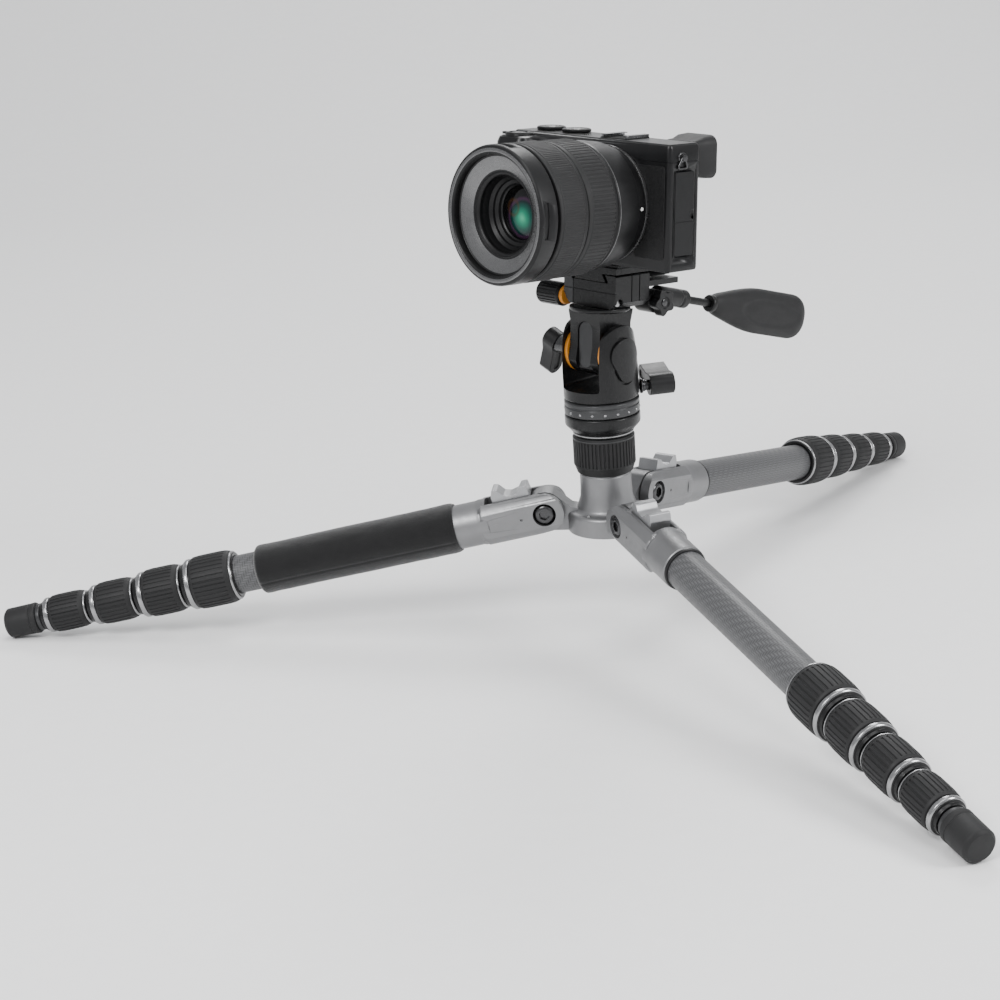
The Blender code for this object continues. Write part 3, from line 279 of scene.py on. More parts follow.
# ------------------------------------------------------------------------------------------------ finishes
@dataclass(frozen=True)
class Finish:
    """A finish with a colour, a gloss and fine variation of both."""

    name: str
    colour: Colour
    roughness: float = 0.5
    metallic: float = 0.0
    mottle: float = 0.12
    grain: float = 6.0
    grain_height: float = 0.012
    specular: float = 0.5

    def material(self) -> bpy.types.Material:
        """Build the material once, and hand it back after that."""
        found = bpy.data.materials.get(self.name)
        if found is None:
            found = bpy.data.materials.new(self.name)
            graph = Graph(found)
            graph.set(Metallic=self.metallic, Specular_IOR_Level=self.specular)
            self.dress(graph)
        return found

    def varied(self, graph: Graph, place: Value) -> tuple[Value, Value]:
        """Colour and roughness that drift over the surface.

        Args:
            graph: The material's graph.
            place: The point on the piece.

        Returns:
            The colour and the roughness.
        """
        drift = graph.noise(place, 0.09, 3.0)
        smear = graph.noise(graph.stretched(place, 1.0, 0.6, 0.25), 0.35, 4.0, 0.6)
        dark = tuple(c * (1 - self.mottle) for c in self.colour)
        light = tuple(min(1.0, c * (1 + self.mottle)) for c in self.colour)
        rough = self.roughness + (smear - 0.5) * 0.22
        return graph.mix(drift, dark, light), rough

    def dress(self, graph: Graph) -> None:
        """Fill the graph: drifting colour, smeared gloss and a fine grain.

        Args:
            graph: The material's graph.
        """
        place = graph.place()
        colour, rough = self.varied(graph, place)
        graph.set(Base_Color=colour, Roughness=rough)
        graph.bump(graph.noise(place, self.grain, 2.0, 0.7), self.grain_height)


@dataclass(frozen=True)
class Alloy(Finish):
    """Blasted and anodised alloy, with a sparkle of grit and faint handling scratches."""

    metallic: float = 0.85
    scratch: float = 0.25

    def dress(self, graph: Graph) -> None:
        """Add grit and scratches to the anodised colour.

        Args:
            graph: The material's graph.
        """
        place = graph.place()
        colour, rough = self.varied(graph, place)
        grit = graph.cells(place, 5.0)
        line = graph.noise(graph.stretched(place, 0.15, 2.5, 0.4), 1.2, 2.0)
        scratches = (1 - (line - 0.5).abs() * 60).clamped() * graph.noise(place, 0.12, 1.0).ramp(0.5, 0.7)
        light = tuple(min(1.0, c * 1.5 + 0.04) for c in self.colour)
        graph.set(Base_Color=graph.mix(scratches * self.scratch, colour, light),
                  Roughness=rough + grit * 0.12 - scratches * 0.1)
        graph.bump(grit * 0.5 + graph.noise(place, self.grain, 2.0), self.grain_height)


@dataclass(frozen=True)
class Turned(Finish):
    """Bright metal with the fine rings of a lathe tool round its own Z."""

    metallic: float = 1.0

    def dress(self, graph: Graph) -> None:
        """Add tool rings.

        Args:
            graph: The material's graph.
        """
        place = graph.place()
        x, y, z = graph.parts(place)
        radius = (x * x + y * y) ** 0.5
        rings = graph.noise(graph.vector(radius * 9, z * 9, 0.0), 1.0, 1.0)
        colour, rough = self.varied(graph, place)
        graph.set(Base_Color=colour, Roughness=rough + (rings - 0.5) * 0.2)
        graph.bump(rings, 0.01)


@dataclass(frozen=True)
class CarbonWeave(Finish):
    """Twill-woven carbon cloth wrapped round a tube under a satin lacquer."""

    tow: float = 1.5
    radius: float = 11.0
    # Colour of the painted highlight and of the light fibre streaks.
    lit: Colour = (0.105, 0.106, 0.110)

    def dress(self, graph: Graph) -> None:
        """Lay tows over and under each other in a two by two twill.

        Args:
            graph: The material's graph.
        """
        place = graph.place()
        x, y, z = graph.parts(place)
        angle = graph.node("ShaderNodeMath", {"operation": "ARCTAN2"}, y, x)
        around = round(2 * math.pi * self.radius / self.tow / 4) * 4 / (2 * math.pi)
        u = angle * around
        v = z * (1 / self.tow)
        over = ((u.floor() + v.floor()) % 4) < 1.5
        crown_u = ((u % 1) * math.pi).sin()
        crown_v = ((v % 1) * math.pi).sin()
        warp = graph.noise(graph.vector(u * 7, v * 0.5, 0.0), 1.0, 2.0)
        weft = graph.noise(graph.vector(u * 0.5, v * 7, 3.0), 1.0, 2.0)
        height = over * crown_u + (1 - over) * crown_v
        fibre = over * warp + (1 - over) * weft
        # Lighter on each tow's crown and on the tows lying over: painted highlight, mixed with the real fibre streaks
        # of the weave.
        shade = (height * 0.55 + fibre * 0.35 + over * 0.18).clamped()
        graph.set(Base_Color=graph.mix(shade, self.colour, self.lit), Roughness=0.42 + over * 0.12 + fibre * 0.1,
                  Coat_Weight=0.15, Coat_Roughness=0.25)
        graph.bump(height * 0.7 + fibre * 0.3, 0.05)


@dataclass(frozen=True)
class Foam(Finish):
    """Closed-cell foam with a soft, dusty surface."""

    def dress(self, graph: Graph) -> None:
        """Cells in the surface, with their raised rims and random lumps lighter.

        Args:
            graph: The material's graph.
        """
        place = graph.place()
        cells = graph.cells(place, 1.6)
        fine = graph.cells(place, 4.2)
        lumps = graph.noise(place, 0.16, 3.0)
        raised_rim_colour = tuple(c * 2.6 + 0.004 for c in self.colour)
        graph.set(Base_Color=graph.mix((cells * 0.7 + lumps * 0.5).clamped(), self.colour, raised_rim_colour),
                  Roughness=0.78 + cells * 0.15, Sheen_Weight=0.35, Sheen_Roughness=0.5)
        graph.bump(cells * 0.65 + fine * 0.35 + lumps * 0.6, 0.22)


@dataclass(frozen=True)
class Crinkle(Finish):
    """Moulded covering with a leather-like crinkle."""

    cell: float = 1.3
    depth: float = 0.11

    def dress(self, graph: Graph) -> None:
        """Pebbles parted by narrow valleys, the valleys darkened with painted shade.

        Args:
            graph: The material's graph.
        """
        place = graph.place()
        warped = graph.node("ShaderNodeVectorMath", {"operation": "ADD"}, place,
                            graph.vector(graph.noise(place, 0.8), graph.noise(place, 0.9), 0.0))
        valley = graph.cells(warped, self.cell, "DISTANCE_TO_EDGE").ramp(0.0, 0.22)
        fine = graph.noise(place, 7.0, 2.0)
        colour, rough = self.varied(graph, place)
        # The valleys are painted darker than the pebbles: painted shade in the creases.
        dark = tuple(c * 0.45 for c in self.colour)
        graph.set(Base_Color=graph.mix(valley, dark, colour), Roughness=rough + valley * -0.06)
        graph.bump(valley * 0.8 + fine * 0.2, self.depth)


@dataclass(frozen=True)
class GlassWithPaintedReflection(Finish):
    """A deep lens element: near black, with a painted green reflection off its middle and painted magenta and amber
    reflections beside it.
    """

    # Offset and spread of the painted green reflection, in millimetres.
    aside: float = 2.4
    reach: float = 14.2

    def dress(self, graph: Graph) -> None:
        """Paint the coating's reflections into the colour by how far a point lies from the painted green highlight.

        Args:
            graph: The material's graph.
        """
        place = graph.place()
        x, y, _ = graph.parts(place)
        drift = graph.noise(place, 0.12, 1.0)
        near = ((x - self.aside) ** 2 + (y - self.aside) ** 2) ** 0.5 * (1 / self.reach) + (drift - 0.5) * 0.12
        # Green in the middle, fading to black through a magenta ring: painted reflection of the coating.
        stops = [(0.0, (0.05, 0.34, 0.20)), (0.22, (0.012, 0.17, 0.10)), (0.42, (0.004, 0.055, 0.04)),
                 (0.60, (0.002, 0.012, 0.012)), (0.70, (0.030, 0.012, 0.030)), (0.80, (0.003, 0.003, 0.004)),
                 (1.0, (0.001, 0.001, 0.001))]
        painted_reflection_colour = graph.node("ShaderNodeValToRGB", {"stops": stops}, near)
        # An amber ring off to the other side: painted reflection.
        far = ((x + self.aside) ** 2 + (y + self.aside * 1.8) ** 2) ** 0.5
        painted_amber_reflection = (1 - (far - self.reach * 0.28).abs() * 0.7).clamped() * 0.5
        graph.set(Base_Color=graph.mix(painted_amber_reflection, painted_reflection_colour, (0.045, 0.020, 0.006)), Roughness=0.03 + drift * 0.03)


@dataclass(frozen=True)
class Panel(Finish):
    """A glossy display with a lit-up smear of finger marks."""

    def dress(self, graph: Graph) -> None:
        """Smears that only change the gloss.

        Args:
            graph: The material's graph.
        """
        place = graph.place()
        smear = graph.noise(graph.stretched(place, 0.5, 1.0, 1.4), 0.12, 5.0, 0.65).ramp(0.45, 0.75)
        colour, _ = self.varied(graph, place)
        graph.set(Base_Color=colour, Roughness=0.05 + smear * 0.16, Coat_Weight=0.6, Coat_Roughness=0.04)


class Skin(Enum):
    """Every finish on the object."""

    LIGHT_ALLOY = Alloy("satin_grey_alloy", (0.205, 0.206, 0.210), 0.36, metallic=0.80, mottle=0.10)
    PALE_ALLOY = Alloy("pale_alloy", (0.34, 0.342, 0.35), 0.34, metallic=0.85, mottle=0.10)
    MID_ALLOY = Alloy("mid_alloy", (0.045, 0.0455, 0.047), 0.30, metallic=0.60, specular=0.4)
    DARK_ALLOY = Alloy("black_anodised_alloy", (0.0085, 0.0086, 0.009), 0.24, metallic=0.35, specular=0.4)
    STEEL = Turned("polished_steel", (0.30, 0.30, 0.305), 0.24)
    DARK_STEEL = Turned("dark_steel", (0.07, 0.07, 0.072), 0.26)
    ORANGE = Alloy("orange_washer", (0.66, 0.25, 0.025), 0.42, metallic=0.30, mottle=0.06)
    CARBON = CarbonWeave("carbon_weave", (0.007, 0.007, 0.0075), 0.3, specular=0.4)
    RUBBER = Finish("ribbed_rubber", (0.0115, 0.0115, 0.012), 0.58, mottle=0.25, grain=4.0, grain_height=0.02,
                    specular=0.28)
    FOAM = Foam("foam_sleeve_skin", (0.0028, 0.0028, 0.003), 0.85, specular=0.08)
    PLASTIC = Finish("moulded_plastic", (0.0065, 0.0065, 0.007), 0.38, mottle=0.2, grain=3.5, grain_height=0.02,
                     specular=0.32)
    BODY = Finish("camera_paint", (0.005, 0.0051, 0.0056), 0.32, metallic=0.15, mottle=0.15, grain=9.0,
                  grain_height=0.012, specular=0.28)
    CRINKLE = Crinkle("grip_crinkle", (0.0055, 0.0055, 0.006), 0.5, specular=0.28)
    LENS = Alloy("lens_anodised", (0.0065, 0.0065, 0.007), 0.34, metallic=0.25, scratch=0.08, specular=0.32)
    BEZEL = Turned("bezel_anodised", (0.15, 0.15, 0.152), 0.28, metallic=0.85)
    # Near black for the shoe's real floor and for painted shade laid in gaps, recesses and holes.
    GROOVE = Finish("black_and_painted_shade", (0.002, 0.002, 0.002), 0.7, specular=0.1)
    # Lens and finder glass: near black with painted coloured reflections.
    GLASS = GlassWithPaintedReflection("glass_with_painted_reflection", (0.002, 0.004, 0.004), 0.03, specular=0.25)
    DISPLAY = Panel("display_panel", (0.004, 0.004, 0.0045), 0.06, specular=0.4)
    MARK = Finish("white_mark", (0.72, 0.72, 0.70), 0.5, mottle=0.05)


# ------------------------------------------------------------------------------------------------ mesh making
OUTER_WALL = 0.9      # share of the widest radius above which a wall counts as the outer one and takes ribs


@dataclass(frozen=True)
class Ribs:
    """Grooves cut along a turned piece between two heights."""

    count: int
    depth: float
    start: float
    end: float
    share: float = 0.45
    samples: int = 6

    def cut(self, angle: float, height: float) -> float:
        """How deep the groove is at an angle and height."""
        if not self.start <= height <= self.end:
            return 0.0
        phase = (angle * self.count / (2 * math.pi)) % 1.0
        return self.depth if phase < self.share else 0.0


def arc(x: float, y: float, radius: float, start: float, end: float, steps: int = 12) -> list[Point]:
    """Points on a circle.

    Args:
        x: Centre.
        y: Centre.
        radius: Radius.
        start: First angle in degrees.
        end: Last angle in degrees.
        steps: Number of pieces.

    Returns:
        The points, ends included.
    """
    angles = [math.radians(start + (end - start) * k / steps) for k in range(steps + 1)]
    return [(x + radius * math.cos(a), y + radius * math.sin(a)) for a in angles]


def round_rect(x0: float, y0: float, x1: float, y1: float, radius: float, steps: int = 6) -> list[Point]:
    """Outline of a rectangle with round corners, anticlockwise."""
    r = radius
    return (arc(x1 - r, y0 + r, r, -90, 0, steps) + arc(x1 - r, y1 - r, r, 0, 90, steps)
            + arc(x0 + r, y1 - r, r, 90, 180, steps) + arc(x0 + r, y0 + r, r, 180, 270, steps))


def eased(points: Sequence[Point], radius: float, closed: bool = False, steps: int = 3) -> list[Point]:
    """Round the corners of a line of points.

    Args:
        points: The line.
        radius: How far back from a corner its round starts.
        closed: Whether the last point joins the first.
        steps: Pieces in each round.

    Returns:
        The rounded line.
    """
    made: list[Point] = []
    count = len(points)
    for index, here in enumerate(points):
        if not closed and index in (0, count - 1):
            made.append(here)
            continue
        corner = Vector(here)
        to_last = Vector(points[index - 1]) - corner
        to_next = Vector(points[(index + 1) % count]) - corner
        if min(to_last.length, to_next.length) < 1e-6 or to_last.angle(to_next) > 2.75:
            made.append(here)
            continue
        back = min(radius, 0.45 * to_last.length, 0.45 * to_next.length)
        first = corner + to_last.normalized() * back
        last = corner + to_next.normalized() * back
        for k in range(steps + 1):
            t = k / steps
            made.append(tuple(first * (1 - t) ** 2 + corner * 2 * t * (1 - t) + last * t * t))
    return made


def finished_mesh(name: str, shape: bmesh.types.BMesh, sharp: float = 32.0) -> bpy.types.Mesh:
    """Turn a shape in millimetres into a smooth mesh in metres with its real edges kept sharp.

    Args:
        name: The mesh's name.
        shape: The shape, which is used up.
        sharp: Angle in degrees above which an edge stays sharp.

    Returns:
        The mesh.
    """
    bmesh.ops.remove_doubles(shape, verts=shape.verts, dist=1e-4)
    bmesh.ops.recalc_face_normals(shape, faces=shape.faces)
    bmesh.ops.scale(shape, vec=(MM, MM, MM), verts=shape.verts)
    limit = math.radians(sharp)
    for face in shape.faces:
        face.smooth = True
    for edge in shape.edges:
        edge.smooth = not (len(edge.link_faces) == 2 and edge.calc_face_angle(0.0) > limit)
    mesh = bpy.data.meshes.new(name)
    shape.to_mesh(mesh)
    shape.free()
    return mesh


def revolve(profile: Sequence[Point], sides: int = 72, ribs: Ribs | None = None, ease: float = 0.35,
            sharp: float = 32.0) -> bpy.types.Mesh:
    """Turn a profile of (radius, height) round Z.

    Args:
        profile: The profile. It is closed if both its ends stand off the axis.
        sides: Number of sides.
        ribs: Grooves cut along it.
        ease: Radius of its eased corners.
        sharp: Angle above which an edge stays sharp.

    Returns:
        The mesh.
    """
    closed = profile[0][0] > 1e-6 and profile[-1][0] > 1e-6
    line = eased(profile, ease, closed) if ease else list(profile)
    if ribs:
        line = with_steps(line, (ribs.start, ribs.end), closed)
        sides = ribs.count * ribs.samples
    shape = bmesh.new()
    rings = []
    for radius, height in line:
        if radius < 1e-6:
            rings.append([shape.verts.new((0, 0, height))])
            continue
        ring = []
        for k in range(sides):
            angle = 2 * math.pi * k / sides
            r = radius - (ribs.cut(angle, height) if ribs and radius > OUTER_WALL * max(p[0] for p in profile) else 0)
            ring.append(shape.verts.new((r * math.cos(angle), r * math.sin(angle), height)))
        rings.append(ring)
    pairs = list(zip(rings, rings[1:])) + ([(rings[-1], rings[0])] if closed else [])
    for low, high in pairs:
        for k in range(sides):
            corners = [low[k % len(low)], low[(k + 1) % len(low)], high[(k + 1) % len(high)], high[k % len(high)]]
            corners = list(dict.fromkeys(corners))
            if len(corners) > 2:
                shape.faces.new(corners)
    return finished_mesh("turned", shape, sharp)


def with_steps(line: Sequence[Point], heights: Iterable[float], closed: bool) -> list[Point]:
    """Add two close points where the outer wall crosses each height, so that a groove starts square.

    Args:
        line: The profile.
        heights: Where to add them.
        closed: Whether the profile joins up.

    Returns:
        The fuller profile.
    """
    made = list(line)
    widest = max(p[0] for p in made)
    for height in heights:
        for index in range(len(made) - (0 if closed else 1)):
            (r0, z0), (r1, z1) = made[index], made[(index + 1) % len(made)]
            if min(r0, r1) > OUTER_WALL * widest and min(z0, z1) < height - 0.06 and max(z0, z1) > height + 0.06:
                step = 0.05 if z1 > z0 else -0.05
                share = [(height + s * step - z0) / (z1 - z0) for s in (-1, 1)]
                made[index + 1:index + 1] = [(r0 + (r1 - r0) * t, z0 + (z1 - z0) * t) for t in share]
                break
    return made


def slab(outline: Sequence[Point], low: float, high: float) -> bpy.types.Mesh:
    """Raise an outline in XY from one height to another.

    Args:
        outline: The outline.
        low: Lower face.
        high: Upper face.

    Returns:
        The mesh, with square edges.
    """
    shape = bmesh.new()
    floor = [shape.verts.new((x, y, low)) for x, y in outline]
    roof = [shape.verts.new((x, y, high)) for x, y in outline]
    count = len(outline)
    shape.faces.new(floor[::-1])
    shape.faces.new(roof)
    for k in range(count):
        shape.faces.new([floor[k], floor[(k + 1) % count], roof[(k + 1) % count], roof[k]])
    return finished_mesh("slab", shape)


def box(low: Sequence[float], high: Sequence[float]) -> bpy.types.Mesh:
    """A block between two corners, for cutting and joining."""
    outline = [(low[0], low[1]), (high[0], low[1]), (high[0], high[1]), (low[0], high[1])]
    return slab(outline, low[2], high[2])


def at(x: float = 0.0, y: float = 0.0, z: float = 0.0) -> Matrix:
    """A shift in millimetres."""
    return Matrix.Translation(Vector((x, y, z)) * MM)


def turned(degrees: float, axis: str) -> Matrix:
    """A turn about an axis."""
    return Matrix.Rotation(math.radians(degrees), 4, axis)


def basis(origin: Vector, x: Vector, z: Vector) -> Matrix:
    """A right-handed frame from its origin, X and Z."""
    x, z = x.normalized(), z.normalized()
    made = Matrix((x, z.cross(x), z)).transposed().to_4x4()
    made.translation = origin
    return made


ALONG_X = Matrix(((0, 0, 1, 0), (0, 1, 0, 0), (-1, 0, 0, 0), (0, 0, 0, 1)))
ALONG_MINUS_X = Matrix(((0, 0, -1, 0), (0, 1, 0, 0), (1, 0, 0, 0), (0, 0, 0, 1)))
ALONG_Y = Matrix(((1, 0, 0, 0), (0, 0, 1, 0), (0, -1, 0, 0), (0, 0, 0, 1)))
ALONG_MINUS_Y = Matrix(((0, 1, 0, 0), (0, 0, -1, 0), (-1, 0, 0, 0), (0, 0, 0, 1)))
FACING_BACK = Matrix(((1, 0, 0, 0), (0, 0, -1, 0), (0, 1, 0, 0), (0, 0, 0, 1)))   # outline x, y to X, Z
SIDE_VIEW = Matrix(((0, 0, 1, 0), (1, 0, 0, 0), (0, 1, 0, 0), (0, 0, 0, 1)))      # outline x, y to Y, Z


@dataclass
class Piece:
    """A visual piece while it is being made."""

    name: str
    mesh: bpy.types.Mesh
    frame: Matrix
    object: bpy.types.Object = field(init=False)

    def __post_init__(self) -> None:
        """Put the mesh into the scene."""
        self.object = bpy.data.objects.new(self.name, self.mesh)
        bpy.context.scene.collection.objects.link(self.object)
        self.object.matrix_world = self.frame

    def combine(self, operation: str, *tools: tuple[bpy.types.Mesh, Matrix]) -> Piece:
        """Join, cut or intersect with other meshes placed in this piece's frame.

        Args:
            operation: UNION, DIFFERENCE or INTERSECT.
            tools: Each mesh with its place.

        Returns:
            This piece.
        """
        helpers = []
        for mesh, place in tools:
            helper = bpy.data.objects.new("helper", mesh)
            bpy.context.scene.collection.objects.link(helper)
            helper.matrix_world = self.frame @ place
            step = self.object.modifiers.new("step", "BOOLEAN")
            step.operation, step.solver, step.object = operation, "EXACT", helper
            helpers.append(helper)
        self.bake()
        for helper in helpers:
            bpy.data.objects.remove(helper)
        return self

    def bake(self) -> None:
        """Apply the modifiers to the mesh."""
        bpy.context.view_layer.update()
        graph = bpy.context.evaluated_depsgraph_get()
        mesh = bpy.data.meshes.new_from_object(self.object.evaluated_get(graph))
        self.object.modifiers.clear()
        self.object.data = mesh

    def bevel(self, width: float, segments: int = 3, clamp: bool = True) -> Piece:
        """Round the edges.

        Args:
            width: Width of the round.
            segments: Pieces in it.
            clamp: Whether narrow faces limit it.

        Returns:
            This piece.
        """
        for edge in self.object.data.edges:
            edge.use_edge_sharp = False
        step = self.object.modifiers.new("edges", "BEVEL")
        step.width, step.segments, step.limit_method = width * MM, segments, "ANGLE"
        step.angle_limit, step.use_clamp_overlap = math.radians(32), clamp
        evened = self.object.modifiers.new("evened", "WEIGHTED_NORMAL")
        evened.weight, evened.keep_sharp = 60, True
        self.bake()
        return self

    def settle(self) -> Piece:
        """Move the frame into the mesh, so that a leaning piece's own box is its true one."""
        self.object.data.transform(self.frame)
        self.object.matrix_world = Matrix()
        return self

    def finish(self, skin: Skin, body: str, nodes: Iterable[str] = (), slot: str | None = None) -> bpy.types.Object:
        """Dress the piece and hand it to its body.

        Args:
            skin: Its finish.
            body: The body it moves with.
            nodes: The solids it stands for.
            slot: The record's material slot; not used.

        Returns:
            The object.
        """
        data = self.object.data
        data.materials.clear()
        data.materials.append(skin.value.material())
        for face in data.polygons:
            face.material_index = 0
        data.name = self.name
        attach(self.object, body)
        for node in nodes:
            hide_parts(node)
        LOG.info("%s: %d faces on %s", self.name, len(data.polygons), body)
        return self.object


def joined(meshes: Iterable[tuple[bpy.types.Mesh, Matrix]]) -> bpy.types.Mesh:
    """Several placed meshes as one, without any boolean."""
    shape = bmesh.new()
    for mesh, place in meshes:
        copy = mesh.copy()
        copy.transform(place)
        shape.from_mesh(copy)
        bpy.data.meshes.remove(copy)
    made = bpy.data.meshes.new("joined")
    shape.to_mesh(made)
    shape.free()
    return made


# ------------------------------------------------------------------------------------------------ the frames
@dataclass
class Layout:
    """Where each sub-assembly's own frame stands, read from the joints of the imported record."""

    joints: dict[str, dict[str, Any]]
    lens_offset: float = 15.0
    lens_height: float = 33.0

    def point(self, joint: str) -> Vector:
        """A joint's point."""
        return Vector(self.joints[joint]["pos_m"])

    def axis(self, joint: str) -> Vector:
        """A joint's axis."""
        return Vector(self.joints[joint]["axis"])

    def ground(self) -> Matrix:
        """Z up the column, from the floor."""
        return Matrix.Translation(self.point("pan"))

    def tilt(self) -> Matrix:
        """The tilt axis, with Z up the neck."""
        return basis(self.point("tilt"), Vector((1, 0, 0)), self.axis("mode_dial_turn"))

    def lens(self) -> Matrix:
        """The lens axis: Z forward, X down, from the front of the body."""
        forward = self.axis("focus_turn")
        return basis(self.point("focus_turn"), -self.axis("mode_dial_turn"), forward)

    def camera(self) -> Matrix:
        """The lower front edge of the camera body: Y to its back, Z up."""
        up = self.axis("mode_dial_turn")
        origin = self.point("focus_turn") - Vector((self.lens_offset * MM, 0, 0)) - up * self.lens_height * MM
        return basis(origin, Vector((1, 0, 0)), up)

    def handle(self, droop: float) -> Matrix:
        """The handle's hinge: Y along the rod."""
        return (basis(self.point("handle_swing"), Vector((1, 0, 0)), self.axis("mode_dial_turn"))
                @ turned(-droop, "X"))

    def screw(self, joint: str, up: Vector) -> Matrix:
        """A screw's frame: Z along it, X as near up as it can be."""
        z = self.axis(joint)
        return basis(self.point(joint), up - z * up.dot(z), z)

    def leg(self, side: str) -> Matrix:
        """A leg's frame: Z along it to the foot, X up."""
        along, across = self.axis(f"leg_{side}_slide_2"), -self.axis(f"leg_{side}_fold")
        return basis(self.point(f"leg_{side}_fold"), across.cross(along), along)


# ------------------------------------------------------------------------------------------------ hub and column
@dataclass
class Hub:
    """The three-lobed casting that carries the legs and the column."""

    frame: Matrix
    azimuths: tuple[float, ...]
    bottom: float = 57.6
    plate_top: float = 69.3
    plate_radius: float = 22.5
    neck_foot: float = 16.4
    neck_radius: float = 14.4
    neck_top: float = 90.8
    collar_radius: float = 13.9
    collar_top: float = 107.2
    bore: float = 12.1
    pivot_radius: float = 34.5
    pivot_height: float = 69.66
    tongue_half: float = 6.3
    tongue_radius: float = 11.4

    def build(self) -> None:
        """Turn the body, join the three arms and bore it."""
        profile = eased([
            (0, self.bottom), (self.plate_radius - 0.6, self.bottom), (self.plate_radius, self.bottom + 0.6),
            (self.plate_radius, self.plate_top - 1.4), (self.plate_radius - 1.4, self.plate_top),
            (self.neck_foot + 2.2, self.plate_top), (self.neck_foot + 0.4, self.plate_top + 1.4),
            (self.neck_radius + 0.3, self.plate_top + 8), (self.neck_radius, self.plate_top + 14),
            (self.neck_radius, self.neck_top - 0.6), (self.neck_radius - 0.5, self.neck_top),
            (self.collar_radius, self.neck_top), (self.collar_radius, self.collar_top), (0, self.collar_top)], 1.0)
        hub = Piece("hub_casting", revolve(profile, 96, ease=0), self.frame)
        arms, holes = [], []
        for azimuth in self.azimuths:
            place = turned(azimuth, "Z")
            arms.append((self.arm(), place @ ALONG_MINUS_Y_UP))
            pin = revolve([(0, -20), (3.7, -20), (3.7, 20), (0, 20)], 32, ease=0)
            holes.append((pin, place @ at(self.pivot_radius, 0, self.pivot_height) @ ALONG_Y))
        hub.combine("UNION", *arms)
        bore = revolve([(0, 0), (self.bore, 0), (self.bore, 200), (0, 200)], 96, ease=0)
        hub.combine("DIFFERENCE", *holes, (bore, Matrix()))
        hub.bevel(0.45, 2)
        hub.finish(Skin.LIGHT_ALLOY, "hub", ["hub"], "light_alloy")
        self.rings()

    def arm(self) -> bpy.types.Mesh:
        """One arm with its tongue, seen from the side: x out, y up."""
        x, z = self.pivot_radius, self.pivot_height
        outline = ([(13.4, self.bottom + 0.9), (x - 2, z - self.tongue_radius + 0.35)]
                   + arc(x, z, self.tongue_radius, -80, 118, 22)
                   + [(self.neck_foot + 3.4, self.plate_top + 2.6), (13.4, self.plate_top + 1.2)])
        return slab(outline, -self.tongue_half + 0.35, self.tongue_half - 0.35)

    def rings(self) -> None:
        """A bright ring under the column lock and three small screws in the plate's rim."""
        ring = revolve([(self.collar_radius + 0.02, self.neck_top + 0.02), (self.neck_radius + 0.25, self.neck_top + 0.02),
                        (self.neck_radius + 0.25, self.neck_top + 0.36), (self.collar_radius + 0.02, self.neck_top + 0.36)],
                       96, ease=0.1)
        Piece("hub_ring", ring, self.frame).finish(Skin.STEEL, "hub", slot="bright_steel")
        screws = []
        for azimuth in self.azimuths:
            head = revolve([(0, 0), (1.2, 0), (1.2, 0.5), (0.9, 0.8), (0.5, 0.8), (0.4, 0.35), (0, 0.35)], 24, ease=0.1)
            screws.append((head, turned(azimuth + 60, "Z") @ at(self.plate_radius - 3.4, 0, self.plate_top - 0.1)))
        Piece("hub_screws", joined(screws), self.frame).finish(Skin.STEEL, "hub", slot="bright_steel")


ALONG_MINUS_Y_UP = Matrix(((1, 0, 0, 0), (0, 0, -1, 0), (0, 1, 0, 0), (0, 0, 0, 1)))   # outline x, y to X, Z


